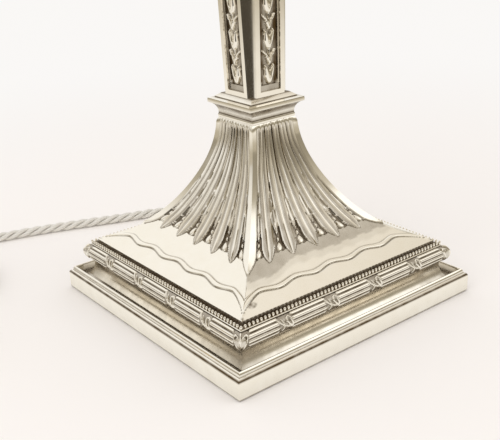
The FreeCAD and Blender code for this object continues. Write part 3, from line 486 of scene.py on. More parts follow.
def outward_of(slope):
    """Unit vectors square to a profile's slope, away from the lamp."""
    slope = unit(slope)
    return np.stack([slope[:, 1], -slope[:, 0]], axis=1)


def foot_profile():
    """Fine points up the outside of the foot, from the lip's top to the neck."""
    low_z = LIP_FOOT_Z + LIP_HEIGHT
    way_in, height = LIP_TOP_HALF - NECK_HALF, NECK_Z - low_z
    points = [(LIP_TOP_HALF - a * way_in, low_z + b * height) for a, b in FOOT_CURVE]
    return curve_through(points, 2000)


def profile_rows(profile, stops):
    """Rows on a profile. Each stop is a half-width and the row spacing up to the next one."""
    runs = runs_along(profile)
    at = [float(np.interp(-half, -profile[:, 0], runs)) for half, _ in stops]
    rows = []
    for (start, end), (_, spacing) in zip(zip(at, at[1:]), stops):
        count = max(1, int(round((end - start) / spacing)))
        rows += list(np.linspace(start, end, count, endpoint=False))
    rows.append(at[-1])
    slope = np.gradient(profile, axis=0)
    spots = np.stack([np.interp(rows, runs, profile[:, k]) for k in range(2)], axis=1)
    slope = np.stack([np.interp(rows, runs, slope[:, k]) for k in range(2)], axis=1)
    return spots, outward_of(slope)


def trough(t):
    """Across a leaf from -1 to 1: 0 on its rims and its rib, and 1 midway between them."""
    return np.sin(np.pi * np.clip(np.abs(t), 0, 1))


def leaf_section(t):
    """Cross-section of a leaf: raised rims and rib, with a trough each side of the rib."""
    return 1 - 0.62 * trough(t) ** 1.3


def lane_width(half, tip, wide_at, wide, neck):
    """Half the width of a leaf, in lane widths, down to its pointed tip."""
    taper = np.clip((tip - half) / (tip - wide_at), 0, 1)
    point = wide * np.sin(np.pi / 2 * taper) ** 0.85
    grow = neck + (wide - neck) * ease(half, 20.0, wide_at)
    return np.where(half > wide_at, point, grow)


def ground_relief(lane, half):
    """Height and darkness of the sunk ground under the leaves, with small buds in its gaps."""
    edge = GROUND_EDGE - 0.5 * np.cos(2 * np.pi * lane)
    sunk = ease(-half, -edge, -edge + 0.45)
    # the sunk ground darkens: patina and painted shade
    height, dark = -GROUND_SUNK * sunk, 0.8 * sunk
    for at, tall, wide in BUDS:
        for gap in GAPS:
            up = (half - at) / tall
            wider = wide * (1 + 0.35 * np.clip(up, -1, 1))
            bump = np.clip(1 - (((lane - gap) / wider) ** 2 + up ** 2), 0, 1) ** 0.35
            height = np.where(bump > 0, np.maximum(height, 0.95 * bump - GROUND_SUNK), height)
            dark = np.where(bump > 0.4, 0.05, dark)
    return height, dark


def lay_leaf(relief, lane, half, middle, width, tip, tall):
    """Lay one leaf over the relief, with a dark line of patina and painted shade beside it."""
    height, dark = relief
    t = (lane - middle) / np.maximum(width, LEAST_WIDTH)
    inside = (np.abs(t) <= 1) & (half < tip)
    rise = tall * leaf_section(t) - GROUND_SUNK * 0.3
    rise *= 1 - 0.35 * ease(half, 41.0, tip)
    height = np.where(inside, np.maximum(height, rise), height)
    # the troughs darken: patina and painted shade and painted reflection
    dark = np.where(inside, 0.6 * trough(t) ** 2, dark)
    beside = (np.abs(t) > 1) & (np.abs(lane - middle) < width + LINE_WIDTH) & (half < tip)
    return height, np.where(beside, np.maximum(dark, 0.8), dark)


def lay_corner_leaf(relief, lane, half):
    """Lay the plain keeled leaf over each mitre, with a dark line of patina and painted shade
    beside it.
    """
    height, dark = relief
    width = lane_width(half, CORNER_LEAF_TIP, 40.0, 0.34, 0.42)
    away = LANES_TO_CORNER - np.abs(lane)
    share = away / np.maximum(width, LEAST_WIDTH)
    below_tip = half < CORNER_LEAF_TIP
    inside = (away < width) & below_tip
    height = np.where(inside, LEAF_HEIGHT * (1 - 0.45 * share), height)
    dark = np.where(inside, 0.35 * ease(share, 0.75, 1.0), dark)
    line = (away >= width) & (away < width + LINE_WIDTH) & below_tip
    return height, np.where(line, 0.85, dark)


def leaf_relief(lane, half):
    """Height of the chased leaves in millimetres, and how dark they are, at each spot: narrow
    leaves in the gaps, the main ones over them, and one on each corner."""
    relief = ground_relief(lane, half)
    width = lane_width(half, SECOND_LEAF_TIP, 31.0, 0.15, 0.02)
    for gap in GAPS:
        relief = lay_leaf(relief, lane, half, gap, width, SECOND_LEAF_TIP, SECOND_LEAF_HEIGHT)
    width = lane_width(half, LEAF_TIP, 38.0, 0.315, 0.455)
    for middle in range(-2, 3):
        relief = lay_leaf(relief, lane, half, middle, width, LEAF_TIP, LEAF_HEIGHT)
    return lay_corner_leaf(relief, lane, half)


def wave_relief(x, half):
    """Raised ribbon with a dark line each side, waving along the skirt to the corners."""
    swing = np.cos(2 * np.pi * x / WAVE_PERIOD)
    near = np.clip((np.abs(x) - (half - CORNER_SWEEP)) / CORNER_SWEEP, 0, 1)
    sweep = 1 - np.sqrt(1 - near ** 2 * 0.99)
    low = WAVE_LOW - 0.9 * swing * (1 - near) + CORNER_SWEEP * sweep
    high = WAVE_HIGH - 0.75 * swing * (1 - near) + 2.6 * sweep
    middle, reach = (low + high) / 2, (low - high) / 2
    band = np.clip(1 - ((half - middle) / reach) ** 2, 0, 1)
    cut_low = np.exp(-((half - low - 0.25) / 0.34) ** 2)
    cut_high = np.exp(-((half - high + 0.2) / 0.26) ** 2) * (1 - 0.8 * near)
    height = WAVE_HEIGHT * band ** 0.6 - 0.26 * cut_low - 0.14 * cut_high
    return height, 0.85 * cut_low + 0.5 * cut_high


def square_ring(name, rows):
    """Closed square shell. Each row is a list of (x, half, z) for the front side, and rows
    may double their points from one to the next. The last row joins the first."""
    verts, starts, counts = [], [], []
    for row in rows:
        starts.append(len(verts))
        counts.append(4 * (len(row) - 1))
        for turn in range(4):
            for x, half, z in row[:-1]:
                spot = (x, -half)
                for _ in range(turn):
                    spot = (-spot[1], spot[0])
                verts.append((*spot, z))
    faces = []
    for i, (low, n) in enumerate(zip(starts, counts)):
        j = (i + 1) % len(rows)
        high, m = starts[j], counts[j]
        if n == m:
            faces += [(low + k, low + (k + 1) % n, high + (k + 1) % n, high + k)
                      for k in range(n)]
        elif m == 2 * n:
            faces += [(low + k, low + (k + 1) % n, high + (2 * k + 2) % m, high + 2 * k + 1,
                       high + 2 * k) for k in range(n)]
        else:
            faces += [(low + 2 * k, low + 2 * k + 1, low + (2 * k + 2) % n, high + (k + 1) % m,
                       high + k) for k in range(m)]
    return mesh_piece(name, verts, faces)


def straight_row(half, z, columns):
    """Row of evenly spaced points along the front side."""
    return [(x, half, z) for x in half * np.linspace(-1, 1, columns + 1)]


def painted_front_reflection(x, half):
    """Painted dark reflections on the front of the skirt, the side that faces the camera: a wavy
    band below the leaf tips, with a fainter one round it, and a mottled spot beside the corner
    nearest to the camera."""
    from_corner = x + half
    edge = 50.6 - 3.8 * ease(from_corner, 19.0, 27.0) + 1.4 * ease(from_corner, 34.0, 60.0)
    edge = edge + 0.5 * np.sin(from_corner * 0.55) - 1.5 * ease_down(from_corner, 0.0, 6.0)
    reflected_band = 0.45 * ease_down(half, edge - 0.5, edge + 0.5)
    reflected_fringe = 0.14 * ease_down(half, edge + 2.2, edge + 4.2)
    mottle = 0.6 + 0.4 * np.sin(x * 1.9 + half * 0.7) * np.sin(half * 1.6 - x * 0.5)
    away = ((from_corner - 5.4) / 3.4) ** 2 + ((half - 59.6 - 0.25 * from_corner) / 1.7) ** 2
    # painted dark reflection: a mottled spot beside the corner nearest the camera
    spot = 0.95 * ease_down(away, 0.2, 1.1) * mottle
    return np.maximum(np.maximum(reflected_band, reflected_fringe), spot)


def neck_band(lane, z, relief):
    """End the gaps between the leaves in rounded notches, under a plain band."""
    height, dark = relief
    notch = np.clip(np.min([np.abs(lane - gap) for gap in GAPS], axis=0) / NOTCH_WIDTH, 0, 1)
    band_low = NECK_Z - 2.4 + 1.1 * np.sqrt(1 - notch ** 2)
    band = ease(z - band_low, 0.0, 0.3)
    raised = LEAF_HEIGHT - 0.3 * (z - NECK_Z + 2.5)
    return height * (1 - band) + raised * band, dark * (1 - band)


def foot_row(spot, outward, columns):
    """One row of the foot's front side, the darkness of its patina and painted shade there, and the
    same with the painted dark reflections that only the front has."""
    half, z = spot
    share = np.linspace(-1, 1, columns + 1)
    crowd = NECK_CROWDING + (1 - NECK_CROWDING) * ease(half, 13.0, 20.0)
    x = half * share * (crowd + (1 - crowd) * share ** 4)
    lane = share * LANES_TO_CORNER
    at = np.full_like(x, half)
    relief = leaf_relief(lane, at) if half < SKIRT_START else wave_relief(x, at)
    if z > NECK_Z - 4.0:
        relief = neck_band(lane, z, relief)
    height, dark = relief
    height = height * ease_down(z, NECK_Z - 0.4, NECK_Z)
    moved = half + outward[0] * height
    row = list(zip(x * moved / half, moved, z + outward[1] * height))
    # painted dark reflections on the front's plain ground
    with_front_reflection = np.where(height < 0.1, np.maximum(dark, painted_front_reflection(x, half)), dark)
    return row, dark, with_front_reflection if half > 40.5 else dark


def make_foot():
    """Flared foot: a lip, the skirt with its ribbon, and the leaves up to the neck."""
    profile = foot_profile()
    rows, darkness = [], []

    def plain_row(half, z, dark):
        rows.append(straight_row(half, z, FOOT_COLUMNS))
        darkness.extend([dark] * (4 * FOOT_COLUMNS))

    plain_row(LIP_TOP_HALF, LIP_FOOT_Z, 0.62)
    plain_row(LIP_TOP_HALF, LIP_FOOT_Z + LIP_HEIGHT - 0.25, 0.62)
    for spot, way in zip(*profile_rows(profile, FOOT_ROWS)):
        fine = any(low < spot[0] < high for low, high in FINE_BANDS)
        row, dark, front = foot_row(spot, way, FOOT_COLUMNS * (2 if fine else 1))
        rows.append(row)
        # only the front side takes the painted dark reflections
        darkness += list(front[:-1]) + list(dark[:-1]) * 3
    inner = profile_rows(profile, [(LIP_TOP_HALF, 6.0), (40.0, 9.0), (NECK_HALF, 9.0)])
    for (half, z), way in reversed(list(zip(*inner))):
        plain_row(half - way[0] * FOOT_WALL, z - way[1] * FOOT_WALL, 0.8)
    plain_row(LIP_TOP_HALF - FOOT_WALL, LIP_FOOT_Z, 0.8)
    return finish_shell(square_ring("chased_foot", rows), "flared_foot", darkness, 40)


# ---------------------------------------------------------------- cast and chased ornament

def stroke_relief(x, z, strokes):
    """Height in millimetres of rounded strokes. A stroke is a list of (x, z, radius)."""
    height = np.zeros_like(x)
    for stroke in strokes:
        for (x0, z0, r0), (x1, z1, r1) in zip(stroke, stroke[1:]):
            dx, dz = x1 - x0, z1 - z0
            t = np.clip(((x - x0) * dx + (z - z0) * dz) / (dx * dx + dz * dz + 1e-9), 0, 1)
            away = np.hypot(x - x0 - t * dx, z - z0 - t * dz)
            radius = r0 + t * (r1 - r0)
            dome = np.sqrt(np.clip(1 - (away / radius) ** 2, 0, 1))
            height = np.maximum(height, dome * np.minimum(radius, 0.8) / 0.8)
    return height


def mirrored(strokes):
    """Strokes with their copies on the other side of the middle line."""
    return strokes + [[(-x, z, r) for x, z, r in stroke] for stroke in strokes]


def relief_patch(width, height):
    """Faces of a closed patch: a grid of points, then a rim below it, then one back face."""
    faces = []
    for j in range(height - 1):
        for i in range(width - 1):
            a = j * width + i
            faces.append((a, a + 1, a + 1 + width, a + width))
    edge = list(range(width))
    edge += [j * width + width - 1 for j in range(1, height)]
    edge += [(height - 1) * width + i for i in range(width - 2, -1, -1)]
    edge += [j * width for j in range(height - 2, 0, -1)]
    first = width * height
    n = len(edge)
    for k in range(n):
        faces.append((edge[k], first + k, first + (k + 1) % n, edge[(k + 1) % n]))
    faces.append(tuple(first + k for k in reversed(range(n))))
    return faces, edge


def joined(copies, faces, values):
    """One mesh from copies of the same points, with their faces and darkness."""
    size = len(copies[0])
    all_faces = [tuple(i * size + k for k in face) for i in range(len(copies)) for face in faces]
    return np.concatenate(copies), all_faces, list(values) * len(copies)


def turned_copies(points, faces, values):
    """The same mesh on the four sides of the lamp."""
    x, y, z = np.asarray(points, float).T
    sides = []
    for turn in range(4):
        c, s = math.cos(turn * math.pi / 2), math.sin(turn * math.pi / 2)
        sides.append(np.stack([x * c - y * s, x * s + y * c, z], axis=1))
    return joined(sides, faces, values)


def cast_pieces(name, node, mesh):
    """Closed relief patches, from their points, faces and darkness on one side."""
    verts, faces, values = turned_copies(*mesh)
    return finish_shell(mesh_piece(name, verts, faces), node, values, 60)


def on_border(angle, radius):
    """Half-width and height of a point on the half round of the border."""
    return BORDER_HALF + radius * np.cos(angle), BORDER_MIDDLE + radius * np.sin(angle)


def make_reeds():
    """Half round with five reeds that stop in rounded ends beside each tie."""
    columns, steps = 190, REEDS * 9
    share = np.linspace(-1, 1, columns + 1)
    rows, darkness = [], []
    for k in range(steps + 1):
        angle = math.radians(-BORDER_SPREAD + 2 * BORDER_SPREAD * k / steps)
        across = 2 * ((k / steps * REEDS) % 1.0) - 1 if k < steps else 1.0
        reach = BORDER_HALF + BORDER_R * math.cos(angle)
        at = share * reach
        gap = np.min([np.abs(at - tie) for tie in TIE_SPOTS], axis=0) - TIE_ROOM
        gap = np.minimum(gap, reach - np.abs(at) - CORNER_ROOM)
        ends = gap - 0.8 * (1 - math.sqrt(max(0.0, 1 - across ** 2)))
        there = ease(ends, 0.0, 0.55)
        reed = (1 - across ** 2) * there
        half, z = on_border(angle, BORDER_R - REED_DEPTH + REED_DEPTH * reed)
        rows.append(list(zip(share * half, half, z)))
        # darker in the grooves between reeds and at their ends: patina and painted shade
        dark = 0.95 * ease_down(reed, 0.25, 0.85) * (0.7 + 0.3 * there)
        darkness += list(dark[:-1]) * 4
    for half, z, dark in ((HOLLOW_TOP_HALF, BORDER_TOP, 0.9), (BORDER_BACK, BORDER_TOP, 0.9),
                          (BORDER_BACK, BORDER_LOW, 0.2), (HOLLOW_TOP_HALF, BORDER_LOW, 0.2)):
        rows.append(straight_row(half, z, columns))
        darkness += [dark] * (4 * columns)
    return finish_shell(square_ring("reeded_band", rows), "reeded_border", darkness, 50)


def make_ties():
    """Ribbon ties: a bow of two loops, with its end hanging below."""
    ribbon = [[(-4.7, 4.8, 0.5), (-3.4, 2.8, 0.6), (-1.7, 1.1, 0.65), (0.8, -0.3, 0.7),
               (3.4, -0.9, 0.7), (4.7, -1.0, 0.5)],
              [(-2.2, 4.2, 0.45), (-1.6, 3.0, 0.5), (-0.6, 1.2, 0.55)],
              [(2.3, 4.8, 0.5), (1.1, 4.0, 0.6), (1.0, 2.5, 0.6), (2.1, 0.6, 0.6),
               (3.2, -0.3, 0.6)],
              [(2.4, 4.8, 0.45), (3.3, 3.6, 0.55), (3.9, 1.9, 0.6), (4.3, -0.4, 0.6)],
              [(-0.8, 0.4, 0.5), (-1.4, -0.6, 0.55), (-2.4, -1.9, 0.45)]]
    wide, tall = 43, 45
    x, arc = np.meshgrid(np.linspace(-5.3, 5.3, wide), np.linspace(-4.6, 5.8, tall))
    relief = stroke_relief(x, arc, ribbon).ravel()
    x, angle = x.ravel(), arc.ravel() / BORDER_R
    faces, edge = relief_patch(wide, tall)
    half, z = on_border(angle, BORDER_R - REED_DEPTH - 0.25 + relief * 1.3)
    back_half, back_z = on_border(angle[edge], BORDER_R - 1.4)
    tie = np.concatenate([np.stack([x, -half, z], axis=1),
                          np.stack([x[edge], -back_half, back_z], axis=1)])
    # darker where the relief is low: patina and painted shade
    dark = list(0.85 * ease_down(relief, 0.15, 0.55)) + [0.9] * len(edge)
    row = joined([tie + np.array([middle, 0, 0]) for middle in TIE_SPOTS], faces, dark)
    return cast_pieces("ribbon_bows", "ribbon_ties", row)


def fold(along, angle, radius):
    """Points of the border's half round, folded over the mitre at its middle line."""
    half, z = on_border(angle, radius)
    return np.stack([-half + np.maximum(along, 0), -half + np.maximum(-along, 0), z], axis=1)


def make_corner_leaves():
    """Two-lobed leaf folded over each mitre, with raised rims and a pointed drop."""
    lobe = [[(0.4, 1.2, 0.5), (1.5, 3.3, 0.6), (3.3, 4.1, 0.65), (4.5, 2.9, 0.62),
             (4.3, 0.8, 0.6), (3.0, -1.4, 0.6), (1.3, -3.6, 0.6), (0.0, -6.1, 0.42)],
            [(1.0, 0.4, 0.4), (2.2, 2.2, 0.5), (3.0, 2.6, 0.35)],
            [(0.8, -1.4, 0.35), (2.2, 0.4, 0.45)]]
    stem = [[(0.0, 5.3, 0.85), (0.0, 3.6, 0.7), (0.0, -5.8, 0.45)]]
    wide, tall = 41, 45
    across, arc = np.meshgrid(np.linspace(-6.2, 6.2, wide), np.linspace(-6.5, 6.3, tall))
    rims = stroke_relief(across, arc, mirrored(lobe) + stem)
    body = ((np.abs(across) - 2.1) / 2.6) ** 2 + ((arc - 0.9 + 0.35 * np.abs(across)) / 3.4) ** 2
    relief = np.maximum(rims, 0.55 * ease(1 - body, 0.0, 0.3)).ravel()
    across, angle = across.ravel(), arc.ravel() / BORDER_R
    faces, edge = relief_patch(wide, tall)
    leaf = np.concatenate([fold(across, angle, BORDER_R - REED_DEPTH - 0.3 + relief * 1.35),
                           fold(across[edge], angle[edge], BORDER_R - 1.5)])
    # darker where the relief is low: patina and painted shade
    dark = list(0.9 * ease_down(relief, 0.3, 0.7)) + [0.9] * len(edge)
    return cast_pieces("corner_acanthus", "corner_leaves", (leaf, faces, dark))


def moulding(name, profile, node):
    """Square moulding from its profile, a list of (half, z, darkness) points."""
    columns = 24
    rows = [straight_row(half, z, columns) for half, z, _ in profile]
    darkness = [dark for _, _, dark in profile for _ in range(4 * columns)]
    return finish_shell(square_ring(name, rows), node, darkness, 40)


def make_plinth():
    """Plinth with a painted shadow along the bottom of its rim, a bead and the channel behind the
    bead.
    """
    low, inner = RIM_LIFT, PLINTH_HALF - RIM_SHEET
    groove = PLINTH_HALF - 1.8
    bead = PLINTH_HALF - 2.9
    channel = PLINTH_HALF - 4.3
    return moulding("beaded_plinth", [
        # painted contact shadow along the bottom edge
        (inner, low, 0.9), (PLINTH_HALF - 0.4, low, 0.9), (PLINTH_HALF, low + 0.35, 0.75),
        (PLINTH_HALF, low + 0.9, 0.15), (PLINTH_HALF, 9.0, 0.0), (PLINTH_HALF, 9.5, 0.3),
        # painted shade: a dark line over the rim's rounded top
        (PLINTH_HALF - 0.1, 9.95, 0.9), (PLINTH_HALF - 0.35, 10.3, 1.0),
        (PLINTH_HALF - 0.65, 10.6, 0.7), (PLINTH_HALF - 0.9, 10.85, 0.1),
        (PLINTH_HALF - 1.6, 11.0, 0.0), (groove, 11.0, 0.5), (bead + 0.95, 12.0, 0.0),
        (bead + 0.5, 12.9, 0.0), (bead, RIDGE_CREST, 0.0), (bead - 0.5, 12.9, 0.0),
        # the channel behind the bead darkens: patina and painted shade
        (bead - 0.9, 12.0, 0.1), (bead - 1.1, 11.0, 0.3), (channel, CHANNEL_Z, 0.6),
        (channel - 3.5, CHANNEL_Z, 0.5), (PLATE_END, CHANNEL_Z, 0.95),
        (PLATE_END, CHANNEL_Z - RIM_SHEET, 0.95), (inner, CHANNEL_Z - RIM_SHEET, 0.95),
    ], "plinth_casing")


def make_collar():
    """Collar of the neck: a bright band, a hollow darkened with patina and painted shade, and a
    square ledge in two steps, with painted shade under the ledge and in the steps' inner corners.
    """
    band, ledge = NECK_HALF + 0.15, COLLAR_LEDGE
    step = ledge - 2.8
    return moulding("hollowed_collar", [
        (9.0, NECK_Z, 0.9), (band, NECK_Z, 0.3), (band + 0.13, NECK_Z + 0.3, 0.0),
        (band + 0.15, NECK_Z + 1.0, 0.0), (band + 0.08, NECK_Z + 1.8, 0.1),
        (band - 0.07, NECK_Z + 2.0, 0.95), (band - 0.15, NECK_Z + 2.15, 0.95),
        (band - 0.12, NECK_Z + 3.0, 0.45), (band, NECK_Z + 4.0, 0.15),
        # painted shade under the ledge
        (band + 0.38, NECK_Z + 5.2, 0.6), (band + 1.03, NECK_Z + 6.3, 0.8),
        (band + 2.03, NECK_Z + 7.3, 0.7), (ledge - 0.8, NECK_Z + 7.85, 0.85),
        (ledge - 0.15, NECK_Z + 8.0, 0.6), (ledge, NECK_Z + 8.15, 0.1),
        (ledge, NECK_Z + 9.7, 0.0), (ledge - 0.15, NECK_Z + 10.27, 0.0),
        (step + 0.8, NECK_Z + 10.55, 0.1), (step + 0.1, NECK_Z + 10.68, 0.85),
        (step, NECK_Z + 10.75, 0.9), (step, NECK_Z + 11.2, 0.35), (step - 0.2, NECK_Z + 11.35, 0.0),
        (step - 1.9, NECK_Z + 12.5, 0.2), (COLUMN_FOOT_HALF + 0.15, COLUMN_Z - 0.12, 0.85),
        (COLUMN_FOOT_HALF, COLUMN_Z, 0.9), (9.0, COLUMN_Z, 0.9),
    ], "neck_collar")


def make_hollow():
    """Hollow moulding under the border, darkened most where its corners meet by painted shade, with
    streaks of patina and a painted highlight line near its top.
    """
    rise, lean = BORDER_LOW - CHANNEL_Z, HOLLOW_FOOT_HALF - HOLLOW_TOP_HALF
    columns, steps = 60, 14
    share = np.linspace(-1, 1, columns + 1)
    streaks = 0.5 + 0.5 * np.sin(share * 57.0) * np.sin(share * 23.0 + 1.3)
    # painted shade, darkest where the corners meet, with random streaks of patina
    corner_shade_and_streaks = 0.40 * np.abs(share) ** 3 + 0.12 * streaks
    rows, darkness = [], []
    for up in np.arange(steps + 1) / steps:
        half = HOLLOW_FOOT_HALF - lean * (1 - (1 - up) ** 2.4) - 0.15 * math.sin(math.pi * up)
        rows.append(straight_row(half, CHANNEL_Z + up * rise, columns))
        # painted highlight: a lighter line near the top of the hollow
        painted_highlight_line = 0.25 * math.exp(-((up - 0.86) / 0.05) ** 2)
        darkness += list(np.clip(corner_shade_and_streaks - painted_highlight_line, 0.0, 1.0)[:-1]) * 4
    for up in (1.0, 0.5, 0.0):
        half = HOLLOW_FOOT_HALF - lean * up - 1.4
        rows.append(straight_row(half, CHANNEL_Z + up * rise, columns))
        darkness += [0.9] * (4 * columns)
    return finish_shell(square_ring("hollow_moulding", rows), "cavetto_riser", darkness, 40)


def bead_points(size, lean):
    """Points and faces of one bead, leaning outward by some degrees."""
    around, levels = 10, 7
    polar = np.repeat(np.pi * np.arange(1, levels) / levels, around)
    turn = np.tile(2 * np.pi * np.arange(around) / around, levels - 1)
    x = np.concatenate([np.sin(polar) * np.sin(turn), [0, 0]]) * size[0]
    y = np.concatenate([np.sin(polar) * np.cos(turn), [0, 0]]) * size[1]
    z = np.concatenate([np.cos(polar), [1, -1]]) * size[2]
    top, bottom = len(x) - 2, len(x) - 1
    faces = []
    for k in range(around):
        beside = (k + 1) % around
        starts = range(0, bottom - 1 - around, around)
        faces += [(a + k, a + around + k, a + around + beside, a + beside) for a in starts]
        faces += [(top, k, beside), (bottom, top - around + beside, top - around + k)]
    c, s = math.cos(math.radians(lean)), math.sin(math.radians(lean))
    return np.stack([x, y * c - z * s, y * s + z * c], axis=1), faces


def bead_rows(name, node, half, z, pitch, size, lean, strip):
    """Row of beads along four sides, on a strip of (half, z, darkness) points, each bead darkened
    on its underside by painted shade.
    """
    bead, faces = bead_points(size, lean)
    count = int(2 * half / pitch) + 1
    spots = [np.array([-half + 2 * half * i / count, -half, z]) for i in range(count)]
    # painted shade: each bead darker on its underside
    dark = 0.4 * ease(-bead[:, 2], 0.5 * size[2], 0.95 * size[2])
    row = joined([bead + spot for spot in spots], faces, dark)
    verts, faces, values = turned_copies(*row)
    first, n = len(verts), len(strip)
    corners = []
    for r, height, dark in strip:
        corners += [(-r, -r, height), (r, -r, height), (r, r, height), (-r, r, height)]
        values += [dark] * 4
    for j in range(n):
        a, b = first + 4 * j, first + 4 * ((j + 1) % n)
        faces += [(a + k, a + (k + 1) % 4, b + (k + 1) % 4, b + k) for k in range(4)]
    return finish_shell(mesh_piece(name, list(verts) + corners, faces), node, values, 50)


def make_border_beads():
    """Row of beads on the reeded border, under the lip of the foot."""
    # the strip darkens under the foot's lip: patina and painted shade
    strip = [(LIP_TOP_HALF + 0.05, BORDER_TOP - 0.4, 1.0),
             (LIP_TOP_HALF + 0.05, BORDER_TOP + 0.15, 1.0),
             (BORDER_HALF + 1.1, BORDER_TOP - 0.15, 1.0),
             (BORDER_HALF + 1.3, BORDER_TOP - 0.12, 0.1),
             (BORDER_HALF + 1.65, BORDER_TOP - 0.4, 0.0),
             (BORDER_HALF + 1.5, BORDER_TOP - 0.75, 0.6)]
    return bead_rows("pearl_border", "bead_border", BORDER_HALF + 0.75, BORDER_TOP + 0.7,
                     BEAD_PITCH, BEAD_SIZE, 15.0, strip)


def make_nozzle_beads():
    """Row of beads round the square pan of the nozzle."""
    low, high = NOZZLE_BEAD_Z - 0.8, NOZZLE_BEAD_Z + 0.8
    # the strip behind the beads darkens: patina and painted shade
    strip = [(NOZZLE_HALF - 0.3, low, 0.5), (NOZZLE_HALF, low, 0.9), (NOZZLE_HALF, high, 0.9),
             (NOZZLE_HALF - 0.3, high, 0.5)]
    return bead_rows("nozzle_pearls", "nozzle_bead", NOZZLE_HALF + 0.1, NOZZLE_BEAD_Z,
                     NOZZLE_BEAD_PITCH, NOZZLE_BEAD_SIZE, 0.0, strip)


def column_half(z):
    """Half-width of the tapered column at a height."""
    share = (z - COLUMN_Z) / (COLUMN_TOP - COLUMN_Z)
    return COLUMN_FOOT_HALF + (COLUMN_HEAD_HALF - COLUMN_FOOT_HALF) * share


def panel_relief(across, into):
    """Depth and darkness of a stepped panel with clipped corners, some way in from its end."""
    step, floor = PANEL_HALF, PANEL_HALF - STEP_WIDTH
    clip = 1.6 * max(0.0, 1 - abs(into - PANEL_SILL) / 1.6)
    reach = floor - clip
    away = np.abs(across)
    in_step = ease(into, 0, PANEL_EASE) * ease(step - away, 0, PANEL_EASE)
    in_floor = ease(into, PANEL_SILL, PANEL_SILL + PANEL_EASE) * ease(reach - away, 0, PANEL_EASE)
    dark = 0.2 * in_step + 0.4 * in_floor
    # darker on the step near the panel's ends: painted shade
    if into < PANEL_SILL:
        dark = dark + 0.35 * (in_step - in_floor)
    # painted shade: a dark strip on the sunk floor beside each side wall
    dark = np.maximum(dark, 0.97 * in_floor * ease(away, 2.6, 3.9))
    return STEP_DEPTH * in_step + (PANEL_DEPTH - STEP_DEPTH) * in_floor, dark


def column_levels():
    """Heights of the column's rows, close together at the ends of the panels."""
    low, high, sill, soft = PANEL_LOW, PANEL_HIGH, PANEL_SILL, PANEL_EASE
    ends = [0.0, soft, 0.9, 1.0, 1.5, 2.0, sill - soft, sill, sill + soft, sill + 1.0, sill + 2.0]
    levels = [COLUMN_Z, COLUMN_Z + 1.2] + [low + end for end in ends]
    levels += list(np.linspace(low + sill + 5, high - sill - 5, 60))
    return levels + [high - end for end in reversed(ends)] + [COLUMN_TOP]


def make_column():
    """Tapered column: raised frames, stepped panels with clipped corners, chamfers."""
    step, floor = PANEL_HALF, PANEL_HALF - STEP_WIDTH
    marks = [COLUMN_FACE_HALF, step + 1.15, step + 0.95, step, step - PANEL_EASE, floor,
             floor - PANEL_EASE, 4.0, 2.4, 0.8]
    across = np.array([-m for m in marks] + marks[::-1])
    rows, darkness = [], []
    for z in column_levels():
        half = column_half(z)
        depth, dark = panel_relief(across, min(z - PANEL_LOW, PANEL_HIGH - z))
        row = [(x, half - d, z) for x, d in zip(across, depth)]
        leg = half - COLUMN_FACE_HALF
        for t in CHAMFER_SHARES:
            swell = CHAMFER_SWELL * (1 - (2 * t - 1) ** 2)
            row.append((COLUMN_FACE_HALF + t * leg + swell, half - t * leg + swell, z))
        rows.append(row + [(half, COLUMN_FACE_HALF, z)])
        darkness += (list(dark) + [0.1] * len(CHAMFER_SHARES)) * 4
    for z in (COLUMN_TOP, COLUMN_Z):
        half = column_half(z) - PANEL_DEPTH - COLUMN_WALL
        face = min(COLUMN_FACE_HALF, half) * 0.92
        leg = half - face
        row = [(x * face / COLUMN_FACE_HALF, half, z) for x in across]
        row += [(face + t * leg, half - t * leg, z) for t in CHAMFER_SHARES]
        rows.append(row + [(half, face, z)])
        darkness += [0.9] * (4 * len(row))
    return finish_shell(square_ring("panelled_column", rows), "column_shell", darkness, 30)


def make_husks():
    """Chain of bellflowers on each panel: slit cups, seeds, curled leaves and a bud."""
    flower = mirrored([[(0.0, 1.0, 1.9), (1.2, 4.0, 1.9), (2.3, 7.6, 1.0), (2.7, 9.0, 0.5)],
                       [(0.0, 10.2, 0.9), (1.0, 12.4, 0.95), (1.7, 14.2, 0.6)],
                       [(0.7, 12.8, 0.6), (2.3, 14.6, 0.8), (3.9, 16.4, 0.55)]])
    flower += [[(0, 9.4, 0.7), (0, 9.8, 0.7)], [(0, 14.4, 0.6), (0, 17.4, 0.6)]]
    length = HUSK_TOP - HUSK_Z
    wide, tall = 35, 330
    x, run = np.meshgrid(np.linspace(-5.0, 5.0, wide), np.linspace(-1.2, length + 0.4, tall))
    relief = np.zeros_like(x)
    for i in range(HUSKS):
        up = run - i * length / HUSKS
        slit = np.exp(-(x / 0.5) ** 2) * ease(up, 2.6, 3.8) * ease_down(up, 8.2, 9.2)
        relief = np.maximum(relief, stroke_relief(x, up, flower) * (1 - 0.95 * slit))
    x, z, relief = x.ravel(), HUSK_Z + run.ravel(), relief.ravel()
    floor = column_half(z) - PANEL_DEPTH
    faces, edge = relief_patch(wide, tall)
    chain = np.concatenate([np.stack([x, -(floor - 0.25 + relief * 2.1), z], axis=1),
                            np.stack([x[edge], -(floor[edge] - 0.8), z[edge]], axis=1)])
    # darker where the relief is low: patina and painted shade
    dark = list(0.75 * ease_down(relief, 0.05, 0.35)) + [0.5] * len(edge)
    return cast_pieces("bellflower_chains", "husk_drops", (chain, faces, dark))


